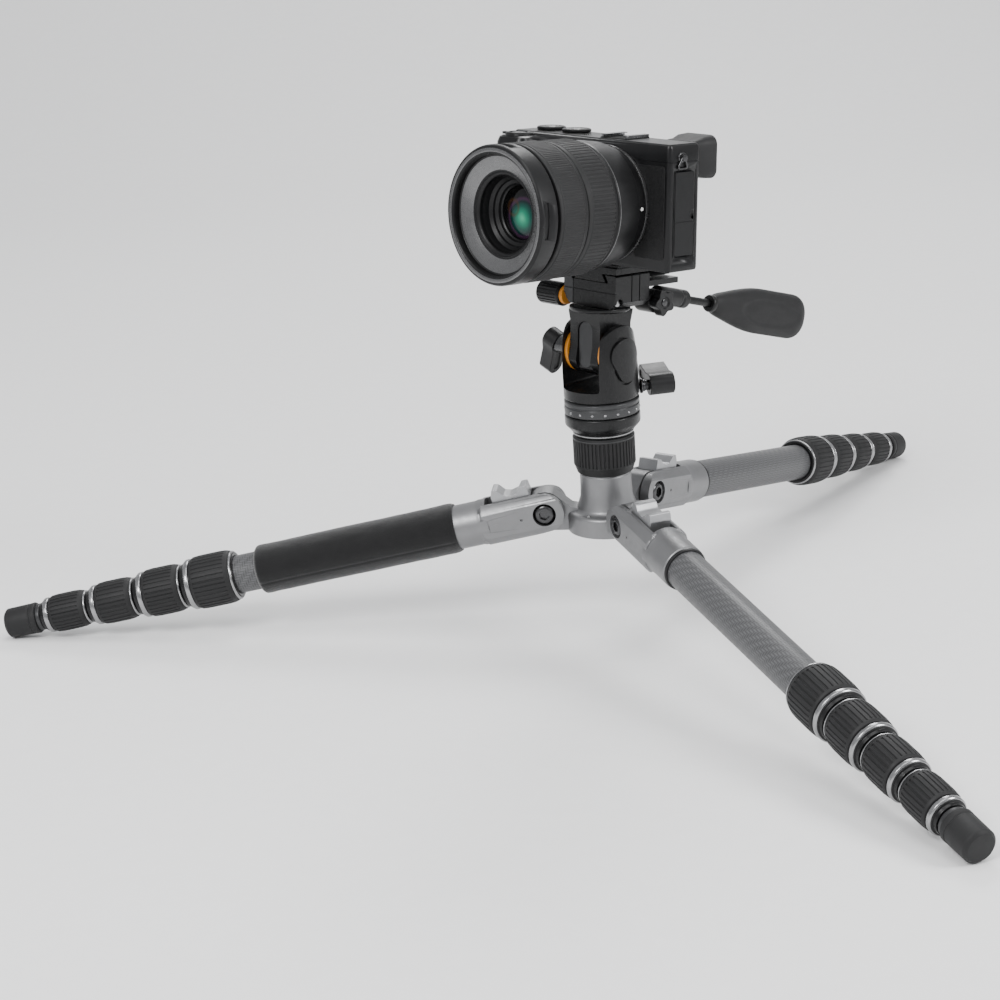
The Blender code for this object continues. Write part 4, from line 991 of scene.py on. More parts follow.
@dataclass
class Column:
    """The short column with its twist lock and top plate, and the base that the head pans on."""

    frame: Matrix
    radius: float = 11.6
    lock_from: float = 91.2
    lock_to: float = 113.2
    lock_radius: float = 17.3
    plate_from: float = 116.1
    plate_to: float = 125.4
    plate_radius: float = 21.0
    pan_to: float = 134.0
    head_radius: float = 20.8

    def build(self) -> None:
        """Build the lock, the column with its plate and the pan base."""
        self.lock()
        top = self.lock_to + 0.3
        tube = revolve([(10.1, 59), (self.radius, 59), (self.radius, top + 0.3), (0, top + 0.3), (0, top - 2),
                        (10.1, top - 2)], 80)
        Piece("column_tube", tube, self.frame).finish(Skin.MID_ALLOY, "column", ["column"], "dark_alloy")
        edge = revolve([(0, top + 0.05), (16.4, top + 0.05), (16.8, top + 0.5), (16.8, self.plate_from - 0.5),
                        (16.3, self.plate_from), (0, self.plate_from)], 96, ease=0.2)
        Piece("column_trim", edge, self.frame).finish(Skin.DARK_ALLOY, "column", slot="dark_alloy")
        silver = revolve([(16.6, top + 0.9), (17.05, top + 0.9), (17.05, top + 1.5), (16.6, top + 1.5)], 96, ease=0.1)
        Piece("column_silver_ring", silver, self.frame).finish(Skin.STEEL, "column", slot="bright_steel")
        r = self.plate_radius
        disc = revolve([(0, self.plate_from), (r - 3.2, self.plate_from), (r - 0.2, self.plate_from + 3.4),
                        (r, self.plate_from + 4.2), (r, self.plate_to - 0.6), (r - 0.6, self.plate_to),
                        (0, self.plate_to)], 112, ease=0.45)
        Piece("top_plate", disc, self.frame).finish(Skin.DARK_ALLOY, "column", slot="dark_alloy")
        self.pan_base()

    def lock(self) -> None:
        """The ribbed lock collar with its bevelled foot."""
        r, low, high = self.lock_radius, self.lock_from, self.lock_to
        ribs = Ribs(48, 0.55, low + 5.6, high - 2.4, 0.35, 8)
        collar = revolve([(14.4, low + 0.4), (14.9, low), (15.6, low + 0.6), (r - 0.5, low + 4.2), (r, low + 5.0),
                          (r, high - 1.6), (r - 0.9, high - 0.3), (r - 1.6, high), (12.1, high), (12.1, high - 5.7),
                          (14.4, high - 5.7)], ribs=ribs, ease=0.3)
        Piece("column_lock_collar", collar, self.frame).finish(Skin.RUBBER, "column_lock", ["column_lock"], "rubber")
        band = revolve([(r - 0.6, high - 1.9), (r + 0.06, high - 1.9), (r + 0.06, high - 1.3), (r - 0.6, high - 1.3)],
                       96, ease=0.1)
        Piece("column_lock_band", band, self.frame).finish(Skin.MID_ALLOY, "column_lock", slot="dark_alloy")

    def pan_base(self) -> None:
        """The turned pan base with its ring of small studs."""
        r, low, high = self.head_radius, self.plate_to + 0.3, self.pan_to
        base = revolve([(0, low), (r - 0.5, low), (r + 0.1, low + 0.5), (r + 0.1, low + 4.6), (r - 0.35, low + 4.9),
                        (r - 0.35, low + 5.4), (r + 0.05, low + 5.7), (r + 0.05, high - 0.8), (r - 0.9, high),
                        (8, high), (8, high + 4), (0, high + 4)], 112, ease=0.25)
        Piece("pan_base_ring", base, self.frame).finish(Skin.MID_ALLOY, "column", ["pan_base"], "dark_alloy")
        studs = []
        for k in range(18):
            stud = revolve([(0, 0), (0.75, 0), (0.75, 0.2), (0.45, 0.45), (0, 0.5)], 20, ease=0.1)
            place = turned(20 * k, "Z") @ at(r - 0.05, 0, low + 2.4) @ ALONG_X
            studs.append((stud, place))
        Piece("pan_studs", joined(studs), self.frame).finish(Skin.STEEL, "column", slot="bright_steel")


# ------------------------------------------------------------------------------------------------ head
@dataclass
class Wing:
    """A locking screw with a paddle knob. Z runs out along the screw, X is the way the paddle's zero points."""

    name: str
    body: str
    node: str
    frame: Matrix
    reach: float
    shaft: float
    start: float
    thick: float
    angle: float
    flare: float
    boss_from: float = 22.0
    length: float = 21.0
    width: float = 12.0

    def build(self) -> None:
        """Build the screw with its collar and the waisted paddle."""
        boss = self.shaft + 1.8
        out = self.reach + 2.6
        profile = [(0, self.start), (self.shaft, self.start), (self.shaft, self.boss_from - 0.4),
                   (boss + 0.9, self.boss_from), (boss + 0.9, self.boss_from + 1.1), (boss, self.boss_from + 1.5),
                   (boss, self.boss_from + 2.6), (boss - 0.5, self.boss_from + 2.9), (boss - 0.5, out), (0, out)]
        Piece(f"{self.name}_screw", revolve(profile, 40), self.frame).finish(Skin.DARK_STEEL, self.body,
                                                                            slot="bright_steel")
        half = self.width / 2
        lobe = half * 0.85
        x = self.length - lobe
        outline = (arc(0, 0, half, 78, 282, 20) + [(half * 1.1, -half * 0.74)]
                   + arc(x, 0, lobe, -74, 74, 18) + [(half * 1.1, half * 0.74)])
        place = turned(self.angle, "Z") @ at(0, 0, self.reach) @ turned(-self.flare, "Y")
        paddle = Piece(f"{self.name}_paddle", slab(eased(outline, 1.0, True), 0, self.thick), self.frame @ place)
        hollow = slab(round_rect(half * 0.55, -lobe * 0.42, x + lobe * 0.45, lobe * 0.42, lobe * 0.4), 0, 3)
        paddle.combine("DIFFERENCE", (hollow, at(0, 0, self.thick - 0.7)), (hollow, at(0, 0, -2.3)))
        paddle.bevel(1.1, 4)
        paddle.finish(Skin.PLASTIC, self.body, [self.node], "black_plastic")


@dataclass
class Head:
    """The two-cheeked head body with its washers and locking knobs."""

    ground: Matrix
    tilt_knob: Matrix
    pan_knob: Matrix
    low: float = 134.3
    radius: float = 20.8
    tilt_height: float = 159.7
    cheek: float = 16.2
    notch_half: float = 14.3
    notch_floor: float = 140.7

    def build(self) -> None:
        """Build the body, the washers, the cap and the knobs."""
        self.shell()
        self.washers()
        self.cap()
        Wing("tilt_lock", "tilt_knob", "tilt_knob", self.tilt_knob, 31, 4.0, -11.3, 8.5, 172, 24).build()
        Wing("pan_lock", "pan_knob", "pan_knob", self.pan_knob, 27, 1.6, 14.5, 14, 100, 0).build()

    def shell(self) -> None:
        """Cheeks cut from a turned blank."""
        r, low, tilt = self.radius, self.low, self.tilt_height
        top = tilt + self.cheek
        blank = revolve([(0, 138.3), (8.5, 138.3), (8.5, low), (r - 0.7, low), (r, low + 0.7), (r, tilt - 8),
                         (r - 0.8, tilt + 4), (r - 2.4, top + 2), (0, top + 2)], 112, ease=0.6)
        body = Piece("head_shell", blank, self.ground)
        side = ([(-50, low - 5), (50, low - 5), (50, tilt - 9)] + arc(0, tilt, self.cheek, -10, 190, 40)
                + [(-50, tilt - 9)])
        body.combine("INTERSECT", (slab(side, -50, 50), SIDE_VIEW))
        notch = [(-self.notch_half, top + 10)] + arc(-self.notch_half + 1.5, self.notch_floor + 1.5, 1.5, 180, 270, 4)
        notch += arc(self.notch_half - 1.5, self.notch_floor + 1.5, 1.5, 270, 360, 4) + [(self.notch_half, top + 10)]
        shaft = revolve([(0, 0), (4.5, 0), (4.5, 30), (0, 30)], 40, ease=0)
        pad = self.pad_outline(10.6)
        groove = slab(pad, 0, 10)
        core = slab(self.pad_outline(9.7), 0, 10)
        body.combine("DIFFERENCE", (slab(notch, -50, 50), FACING_BACK), (shaft, at(0, 0, tilt) @ ALONG_MINUS_X))
        screw_hole = revolve([(0, 14), (2.1, 14), (2.1, 30), (0, 30)], 32, ease=0)
        body.combine("DIFFERENCE", (groove, at(r - 1.5, 0, tilt) @ SIDE_VIEW),
                     (screw_hole, self.ground.inverted() @ self.pan_knob))
        body.bevel(0.7, 3, clamp=True)
        body.finish(Skin.DARK_ALLOY, "head", ["head_body"], "dark_alloy")
        raised = Piece("cheek_pad", core, self.ground @ at(r - 1.6, 0, tilt) @ SIDE_VIEW)
        trim = revolve([(0, low - 5), (r + 1.1, low - 5), (r + 1.1, tilt), (r + 0.2, tilt + 18), (0, tilt + 18)], 112,
                       ease=0)
        raised.combine("INTERSECT", (trim, (at(r - 1.6, 0, tilt) @ SIDE_VIEW).inverted()))
        raised.bevel(0.5, 3)
        raised.finish(Skin.DARK_ALLOY, "head", slot="dark_alloy")

    def pad_outline(self, radius: float) -> list[Point]:
        """A drop round the tilt axis with its narrow round end down: x back, y up."""
        return arc(0, 0, radius, -12, 192, 30) + arc(0, -radius * 0.9, radius * 0.62, 205, 335, 14)

    def washers(self) -> None:
        """The two bright friction washers between the neck and the cheeks."""
        for name, x in (("washer_left", -self.notch_half + 0.05), ("washer_right", 11.75)):
            ring = revolve([(4.6, 0), (12.9, 0), (12.9, 2.3), (4.6, 2.3)], 80, ease=0.3)
            Piece(name, ring, self.ground @ at(x, 0, self.tilt_height) @ ALONG_X).finish(Skin.ORANGE, "head",
                                                                                        slot="light_alloy")

    def cap(self) -> None:
        """The silver axle end behind the tilt knob."""
        ring = revolve([(4.4, 0), (7.4, 0), (7.4, 0.6), (6.6, 1.1), (4.4, 1.1)], 64, ease=0.2)
        place = self.ground @ at(-self.radius + 0.5, 0, self.tilt_height) @ ALONG_MINUS_X
        Piece("axle_ring", ring, place).finish(Skin.STEEL, "head", slot="bright_steel")


@dataclass
class Neck:
    """The neck that tilts between the cheeks."""

    frame: Matrix
    half: float = 11.5
    front: float = 11.0
    back: float = 12.5
    knuckle: float = 13.2
    top: float = 25.4
    flange: float = 16.8

    def build(self) -> None:
        """Build the neck with its arched pocket, and its flange."""
        low = self.top - 2.6
        outline = (arc(0, 0, self.knuckle, 200, 340, 28)
                   + [(self.back, 4), (self.back, 16), (self.back + 1.4, low - 1), (self.back + 1.6, low + 0.6),
                      (-self.front - 1.6, low + 0.6), (-self.front - 1.4, low - 1), (-self.front, 16), (-self.front, 4)])
        neck = Piece("neck_block", slab(outline, -self.half, self.half), self.frame @ SIDE_VIEW)
        arch = round_rect(-5.6, -14, 5.6, 17.5, 5.4, 10)
        pocket = (SIDE_VIEW.inverted() @ at(0, -self.front + 1.1, 0) @ FACING_BACK)
        shaft = revolve([(0, -20), (4.5, -20), (4.5, 20), (0, 20)], 40, ease=0)
        neck.combine("DIFFERENCE", (slab(arch, 0, 10), pocket), (shaft, Matrix()))
        neck.bevel(0.55, 3)
        neck.finish(Skin.DARK_ALLOY, "platform", ["neck"], "dark_alloy")
        inset = slab(round_rect(-5.3, -8.0, 5.3, 17.2, 5.2, 10), 0, 0.5)
        panel = Piece("neck_panel", inset, self.frame @ at(0, -self.front + 1.12, 0) @ FACING_BACK)
        panel.bevel(0.2, 2)
        panel.finish(Skin.MID_ALLOY, "platform", slot="dark_alloy")
        rim = revolve([(0, low + 0.1), (self.flange - 0.8, low + 0.1), (self.flange, low + 0.9), (self.flange, self.top - 0.4),
                       (self.flange - 0.4, self.top), (0, self.top)], 96, ease=0.25)
        Piece("neck_flange", rim, self.frame).finish(Skin.DARK_ALLOY, "platform", slot="dark_alloy")


@dataclass
class Clamp:
    """The quick release clamp, its sliding jaw, screw knob and plate."""

    frame: Matrix
    screw: Matrix
    low: float = 25.7
    bed: float = 39.5
    lip: float = 43.9
    half: float = 20.0
    front: float = -8.0
    back: float = 18.0
    shelf_from: float = 36.0
    shelf_back: float = 41.0
    split: float = -12.5
    groove: float = 12.7
    plate_top: float = 49.7
    plate_back: float = 42.0

    def build(self) -> None:
        """Build the clamp, the jaw, the knob and the plate."""
        self.body()
        self.jaw()
        self.knob()
        self.plate()

    def hole(self) -> tuple[bpy.types.Mesh, Matrix]:
        """The screw's hole as a cutter in the outline frame of a prism."""
        mesh = revolve([(0, -30), (2.5, -30), (2.5, 40), (0, 40)], 32, ease=0)
        return mesh, (self.frame @ FACING_BACK).inverted() @ self.screw

    def body(self) -> None:
        """The fixed side with its undercut lip, the shelf behind it and machined lines."""
        flare = self.groove - 2.76
        view = [(self.split, self.low), (self.half - 4, self.low), (self.half, self.low + 3.4), (self.half, self.lip - 0.6),
                (self.half - 0.6, self.lip), (flare + 1.8, self.lip), (self.groove + 1.8, self.bed), (self.split, self.bed)]
        clamp = Piece("clamp_fixed", slab(view, -self.back, -self.front), self.frame @ FACING_BACK)
        shelf = box((self.split + 1, self.back - 5, self.shelf_from), (self.half - 0.5, self.shelf_back, self.bed - 0.4))
        line = box((-30, self.front - 1, 34.0), (30, self.front + 0.6, 34.7))
        local = FACING_BACK.inverted()
        clamp.combine("UNION", (shelf, local))
        clamp.combine("DIFFERENCE", self.hole(), (line, local),
                      (box((self.half - 0.6, 4, 29), (self.half + 1, 4.7, 45)), local),
                      (box((self.half - 0.6, 10, 29), (self.half + 1, 10.7, 45)), local))
        clamp.bevel(0.35, 2)
        clamp.finish(Skin.DARK_ALLOY, "platform", ["clamp_body"], "dark_alloy")

    def jaw(self) -> None:
        """The jaw that slides out on the screw."""
        flare, edge = self.groove - 2.76, self.split - 0.5
        view = [(-self.half + 4.2, self.low), (edge, self.low), (edge, self.bed), (-self.groove - 1.8, self.bed),
                (-flare - 1.8, self.lip), (-self.half + 0.6, self.lip), (-self.half, self.lip - 0.6),
                (-self.half, self.low + 6)]
        jaw = Piece("clamp_moving_jaw", slab(eased(view, 1.2, True), -self.back, -self.front), self.frame @ FACING_BACK)
        line = box((-30, self.front - 1, 34.0), (30, self.front + 0.6, 34.7))
        jaw.combine("DIFFERENCE", self.hole(), (line, FACING_BACK.inverted()))
        jaw.bevel(0.3, 2)
        jaw.finish(Skin.MID_ALLOY, "clamp_jaw", ["clamp_jaw"], "light_alloy")

    def knob(self) -> None:
        """Screw, orange washer and ribbed knob, out along the screw."""
        start = self.half + 0.3
        screw = revolve([(0, -18), (2, -18), (2, start + 0.4), (0, start + 0.4)], 32)
        Piece("clamp_screw", screw, self.screw).finish(Skin.STEEL, "clamp_knob", slot="bright_steel")
        washer = revolve([(0, start), (5.2, start), (5.2, start + 2.5), (0, start + 2.5)], 56)
        Piece("clamp_washer", washer, self.screw).finish(Skin.ORANGE, "clamp_knob", slot="light_alloy")
        first, last = start + 2.5, start + 20
        ribs = Ribs(22, 0.5, first + 1.6, last - 1.6, 0.3, 10)
        grip = revolve([(0, first), (5.4, first), (6.6, first + 0.8), (6.6, last - 1), (5.6, last), (3.6, last),
                        (3.2, last - 0.5), (0, last - 0.5)], ribs=ribs, ease=0.25)
        Piece("clamp_knob_grip", grip, self.screw).finish(Skin.DARK_ALLOY, "clamp_knob", ["clamp_knob"], "dark_alloy")

    def plate(self) -> None:
        """The dovetail plate, with a rubber pad under the camera and black strips on its sides."""
        flare = self.groove - 2.76 - 0.3
        low = self.plate_top - 5.5
        view = [(-12.2, self.bed + 0.3), (12.2, self.bed + 0.3), (flare, self.lip), (flare, low), (20, low + 0.4),
                (20, self.plate_top - 1.6), (-20, self.plate_top - 1.6), (-20, low + 0.4), (-flare, low), (-flare, self.lip)]
        plate = Piece("plate_metal", slab(view, -self.plate_back, -self.front), self.frame @ FACING_BACK)
        local = FACING_BACK.inverted()
        slots = [(box((-21, y, low - 2), (21, y + 0.7, low + 1.1)), local) for y in (30, 36)]
        plate.combine("DIFFERENCE", *slots)
        plate.bevel(0.3, 2)
        plate.finish(Skin.DARK_ALLOY, "platform", ["quick_plate"], "light_alloy")
        pad = slab(round_rect(-20, self.front + 1.2, 20, self.plate_back, 1.6), self.plate_top - 1.55, self.plate_top)
        cover = Piece("plate_pad", pad, self.frame)
        rows = [(box((-17, y, self.plate_top - 0.35), (17, y + 0.8, self.plate_top + 1)), Matrix())
                for y in range(-4, 40, 3)]
        cover.combine("DIFFERENCE", *rows)
        cover.bevel(0.2, 2)
        cover.finish(Skin.RUBBER, "platform", slot="rubber")
        side = slab(round_rect(self.front + 4, low + 0.7, self.plate_back - 0.2, self.plate_top - 1.9, 0.5), 0, 0.35)
        for name, x, frame in (("plate_side_right", 19.75, SIDE_VIEW), ("plate_side_left", -20.05, SIDE_VIEW)):
            strip = Piece(name, side.copy(), self.frame @ at(x, 0, 0) @ frame)
            strip.finish(Skin.PLASTIC, "platform", slot="black_plastic")


@dataclass
class Handle:
    """The pan handle: eye, barrel, rod, star knob and rubber grip. Y runs along the rod."""

    frame: Matrix
    lift: float = 3.6
    eye_radius: float = 6.5
    eye_half: float = 6.0
    barrel: float = 5.2
    barrel_end: float = 29.0
    rod: float = 2.2
    rod_end: float = 66.5
    grip_from: float = 50.0
    grip_length: float = 81.0
    grip_width: float = 26.0
    grip_thick: float = 15.0

    def build(self) -> None:
        """Build the arm, the knob and the grip."""
        half = self.eye_half
        eye = revolve([(2.5, -half), (self.eye_radius, -half), (self.eye_radius, half), (2.5, half)], 64, ease=0.7)
        arm = Piece("handle_eye", eye, self.frame @ ALONG_X)
        end = self.barrel_end
        line = [(0, 4.5), (self.barrel, 4.5), (self.barrel, end - 7), (self.barrel - 0.5, end - 6.4),
                (self.barrel - 0.5, end - 5.6), (self.barrel, end - 5), (self.barrel, end - 1.2),
                (self.barrel - 1.2, end), (self.rod + 0.8, end), (self.rod + 0.6, end + 1.6), (0, end + 1.6)]
        place = ALONG_X.inverted() @ at(0, 0, self.lift) @ ALONG_Y
        arm.combine("UNION", (revolve(line, 56), place))
        arm.combine("DIFFERENCE", (revolve([(0, -9), (2.5, -9), (2.5, 9), (0, 9)], 32, ease=0), Matrix()))
        arm.bevel(0.35, 2)
        arm.finish(Skin.PLASTIC, "handle", slot="black_plastic")
        rod = revolve([(0, end - 3), (self.rod, end - 3), (self.rod, self.rod_end), (0, self.rod_end)], 40)
        Piece("handle_rod", rod, self.frame @ at(0, 0, self.lift) @ ALONG_Y).finish(Skin.DARK_ALLOY, "handle",
                                                                                  ["handle_arm"], "dark_alloy")
        self.star()
        self.grip()

    def star(self) -> None:
        """The five-lobed clamping knob on the hinge screw."""
        start = self.eye_half + 0.3
        lobes = []
        for k in range(80):
            angle = 2 * math.pi * k / 80
            radius = 7.5 * (0.86 + 0.14 * math.cos(5 * angle))
            lobes.append((radius * math.cos(angle), radius * math.sin(angle)))
        star = Piece("handle_star", slab(lobes, start + 1, start + 6.5), self.frame @ ALONG_X)
        dimple = revolve([(0, start + 5.6), (3.2, start + 5.6), (3.2, start + 9), (0, start + 9)], 40, ease=0)
        star.combine("DIFFERENCE", (dimple, Matrix()))
        star.bevel(0.8, 3)
        star.finish(Skin.PLASTIC, "handle_knob", ["handle_knob"], "black_plastic")
        screw = revolve([(0, -9), (2, -9), (2, start), (3.4, start), (3.4, start + 1.2), (0, start + 1.2)], 40)
        Piece("handle_screw", screw, self.frame @ ALONG_X).finish(Skin.STEEL, "handle_knob", slot="bright_steel")
        button = revolve([(0, start + 5.5), (2.2, start + 5.5), (2.2, start + 6.0), (1.2, start + 6.3), (0, start + 6.3)], 32)
        Piece("handle_star_cap", button, self.frame @ ALONG_X).finish(Skin.DARK_STEEL, "handle_knob", slot="bright_steel")

    def grip(self) -> None:
        """The oval rubber grip: a blunt nose, full shoulders and a long shallow hollow on each side."""
        shape = bmesh.new()
        steps, sides = 60, 64
        rings = []
        for k in range(steps + 1):
            share = k / steps
            nose = min(1.0, 0.3 + share / 0.13)
            tail = min(1.0, (1 - share) / 0.16)
            swell = 0.44 + 0.56 * math.sin(math.pi / 2 * min(1.0, share / 0.52)) ** 1.3
            round_off = math.sqrt(max(0.0, 1 - (1 - nose) ** 2)) * math.sqrt(max(0.0, 1 - (1 - tail) ** 2.4))
            tall = swell * round_off * self.grip_width / 2
            wide = (0.45 + 0.55 * swell) * round_off * self.grip_thick / 2
            ring = []
            for s in range(sides):
                angle = 2 * math.pi * s / sides
                power = 0.86
                c, n = math.cos(angle), math.sin(angle)
                x = math.copysign(abs(c) ** power, c) * wide
                y = math.copysign(abs(n) ** power, n) * tall
                inset = max(0.0, 1 - ((share - 0.58) / 0.33) ** 2 - (y / (self.grip_width * 0.31)) ** 2)
                x -= math.copysign(min(1.0, inset * 4.0) * 0.9, x) if abs(x) > wide * 0.4 else 0.0
                ring.append(shape.verts.new((x, y, self.grip_from + share * self.grip_length)))
            rings.append(ring)
        for low, high in zip(rings, rings[1:]):
            for s in range(sides):
                shape.faces.new([low[s], low[(s + 1) % sides], high[(s + 1) % sides], high[s]])
        shape.faces.new(rings[0][::-1])
        shape.faces.new(rings[-1])
        grip = Piece("handle_grip_cover", finished_mesh("grip", shape, 50), self.frame @ at(0, 0, self.lift) @ ALONG_Y)
        bore = revolve([(0, 40), (2.5, 40), (2.5, self.rod_end + 0.3), (0, self.rod_end + 0.3)], 40, ease=0)
        grip.combine("DIFFERENCE", (bore, Matrix()))
        grip.finish(Skin.RUBBER, "handle", ["handle_grip"], "rubber")
        collar = revolve([(2.3, self.grip_from - 1.6), (4.4, self.grip_from - 1.6), (5.0, self.grip_from - 0.6),
                          (5.0, self.grip_from + 1.5), (2.3, self.grip_from + 1.5)], 48)
        Piece("grip_collar", collar, self.frame @ at(0, 0, self.lift) @ ALONG_Y).finish(Skin.PLASTIC, "handle",
                                                                                     slot="black_plastic")


# ------------------------------------------------------------------------------------------------ camera body
def lofted(x0: float, y0: float, x1: float, y1: float, radius: float, levels: Sequence[tuple[float, float]],
           steps: int = 8) -> bpy.types.Mesh:
    """A block with round corners whose sides step in and out with height.

    Args:
        x0: Left side.
        y0: Near side.
        x1: Right side.
        y1: Far side.
        radius: Corner radius at full width.
        levels: (inset, height) pairs from the lowest to the highest.
        steps: Pieces in each corner.

    Returns:
        The mesh.
    """
    shape = bmesh.new()
    rings = []
    for inset, height in levels:
        outline = round_rect(x0 + inset, y0 + inset, x1 - inset, y1 - inset, max(0.2, radius - inset), steps)
        rings.append([shape.verts.new((x, y, height)) for x, y in outline])
    shape.faces.new(rings[0][::-1])
    shape.faces.new(rings[-1])
    for low, high in zip(rings, rings[1:]):
        for k in range(len(low)):
            shape.faces.new([low[k], low[(k + 1) % len(low)], high[(k + 1) % len(high)], high[k]])
    return finished_mesh("lofted", shape)


@dataclass
class CameraBody:
    """The camera body. X to its right side, Y to its back, Z up, from the lower front edge's middle."""

    frame: Matrix
    buttons: dict[str, Matrix]
    half: float = 60.0
    depth: float = 23.5
    height: float = 66.9
    corner: float = 2.5
    grip_to: float = -37.0
    grip_front: float = -15.0
    grip_back: float = 11.75
    dial_radius: float = 8.0
    dial_thick: float = 1.8

    def build(self) -> None:
        """Build the shell, then what sits on its front, top, side and back."""
        self.shell()
        self.grip_cover()
        self.top()
        self.side()
        self.eyepiece()
        self.display()
        self.back_controls()

    def shell(self) -> None:
        """Body, hand grip and eyepiece block in one skin, with a seam under the top cover."""
        top = self.height
        wall = [(1.6, 0.0), (0.5, 0.35), (0.0, 1.6), (0.0, 57.4), (0.3, 57.5), (0.3, 57.95), (0.0, 58.05),
                (0.0, top - 2.2), (0.5, top - 0.8), (1.6, top)]
        shell = Piece("camera_shell", lofted(-self.half, 0, self.half, self.depth, self.corner, wall), self.frame)
        grip = [(2.2, 2.5), (0.6, 3.1), (0.0, 5.0), (0.0, 57.4), (0.3, 57.5), (0.3, 57.95), (0.0, 58.05), (0.3, 61.5),
                (1.4, 64.1), (3.0, 64.9)]
        block = [(1.4, 50.4), (0.0, 51.6), (0.0, 64.0), (1.4, 65.4)]
        shell.combine("UNION", (lofted(-self.half + 0.02, self.grip_front, self.grip_to, self.grip_back, 6.0, grip),
                                Matrix()),
                      (lofted(35, 10, 53, 27.5, 2.2, block), Matrix()))
        turret = revolve([(0, 60), (8.0, 60), (8.0, 65.6), (7.3, 66.5), (0, 66.5)], 64)
        shell.combine("UNION", (turret, at(-48.5, -5.2, 0)))
        well = revolve([(0, 0), (5.1, 0), (5.1, 30), (0, 30)], 56, ease=0)
        slot = box((self.half - 0.35, 3.6, 8), (self.half + 1, 4.0, 53))
        shell.combine("DIFFERENCE", (well, at(-48.5, -6, 60.9)), (slot, Matrix()),
                      (box((self.half - 0.35, 19.4, 8), (self.half + 1, 19.8, 53)), Matrix()))
        shell.finish(Skin.BODY, "platform", ["camera_body"], "camera_black")

    def grip_cover(self) -> None:
        """Crinkled cover round the hand grip and on the front beside the lens."""
        walls = [(1.0, 6.4), (0.0, 7.0), (0.0, 55.4), (1.0, 56.0)]
        wrap = Piece("grip_cover", lofted(-self.half - 0.25, self.grip_front - 0.45, self.grip_to + 0.45, 6.5, 6.2,
                                          walls, 12), self.frame)
        wrap.combine("INTERSECT", (box((-61, -17, 0), (self.grip_to + 1, 6.0, 60)), Matrix()))
        wrap.finish(Skin.CRINKLE, "platform", slot="camera_black")
        front = slab(round_rect(35.5, 6.5, 57.2, 55.5, 2.0), 0, 0.5)
        panel = Piece("front_cover", front, self.frame @ at(0, 0.05, 0) @ FACING_BACK)
        panel.bevel(0.25, 2)
        panel.finish(Skin.CRINKLE, "platform", slot="camera_black")

    def top(self) -> None:
        """Hot shoe, dials, shutter button and the power lever round it."""
        top = self.height
        # The shoe's floor is a real black part, given the near black that also paints shade.
        shoe = Piece("hot_shoe_floor", slab(round_rect(5, 3.5, 25, 21.5, 0.8), top - 0.4, top + 0.35), self.frame)
        shoe.bevel(0.15, 2)
        shoe.finish(Skin.GROOVE, "platform", slot="camera_black")
        rail = [(0, 0), (1.5, 0), (1.5, 1.5), (3.4, 1.5), (3.4, 2.1), (0, 2.1)]
        left = slab(rail, 0, 16.5)
        right = slab([(-x, z) for x, z in rail[::-1]], 0, 16.5)
        rails = joined([(left, at(5.2, 21, top) @ FACING_BACK), (right, at(24.8, 21, top) @ FACING_BACK)])
        metal = Piece("hot_shoe_rails", rails, self.frame)
        metal.bevel(0.2, 2)
        metal.finish(Skin.STEEL, "platform", slot="bright_steel")
        ribs = Ribs(56, 0.28, 0.35, self.dial_thick - 0.5, 0.45, 6)
        for name, body in (("mode_dial", "mode_dial"), ("control_dial", "control_dial")):
            r, t = self.dial_radius, self.dial_thick
            frame = self.buttons[name]
            rim = revolve([(0, 0), (r - 0.3, 0), (r, 0.3), (r, t - 0.45), (r - 0.6, t), (r - 1.4, t - 0.05),
                           (r - 1.7, t - 0.25), (0, t - 0.25)], ribs=ribs, ease=0.1)
            Piece(f"{name}_wheel", rim, frame).finish(Skin.LENS, body, [name], "dial_metal")
            marks = [(slab(round_rect(-0.2, 4.3, 0.2, 5.7, 0.1, 2), t - 0.3, t - 0.2), turned(30 * k, "Z"))
                     for k in range(9 if name == "mode_dial" else 2)]
            Piece(f"{name}_marks", joined(marks), frame).finish(Skin.MARK, body, slot="dial_metal")
            spin = revolve([(0, t - 0.35), (3.2, t - 0.35), (3.2, t - 0.15), (2.8, t), (0, t)], 48, ease=0.1)
            Piece(f"{name}_centre", spin, frame).finish(Skin.BEZEL, body, slot="dial_metal")
        button = revolve([(0, -3.4), (4.6, -3.4), (4.6, 0.6), (4.0, 1.2), (2.6, 1.1), (0, 0.85)], 56, ease=0.4)
        Piece("shutter_release", button, self.buttons["shutter_button"]).finish(Skin.BEZEL, "shutter_button",
                                                                              ["shutter_button"], "dial_metal")
        ring = revolve([(5.2, 0), (7.2, 0), (7.2, 1.0), (6.6, 1.5), (5.4, 1.5), (5.2, 1.2)], 72, ease=0.2)
        tab = slab(eased([(4.5, -1.6), (9.4, -1.1), (9.4, 1.1), (4.5, 1.6)], 0.6, True), 0.1, 1.4)
        lever = Piece("power_lever", ring, self.frame @ at(-48.5, -6, 65.3))
        lever.combine("UNION", (tab, turned(-155, "Z")))
        cut = revolve([(0, -1), (5.2, -1), (5.2, 3), (0, 3)], 72, ease=0)
        lever.combine("DIFFERENCE", (cut, Matrix()))
        lever.finish(Skin.LENS, "platform", slot="dial_metal")
        # Near-black discs stand in for the speaker holes: painted shade.
        holes = [(slab(arc(0, 0, 0.45, 0, 324, 9), 0, 0.12), at(-12.5 + 1.6 * c, 6 + 1.6 * r, top - 0.02))
                 for r in range(3) for c in range(4)]
        Piece("speaker_hole_shade", joined(holes), self.frame).finish(Skin.GROOVE, "platform", slot="camera_black")

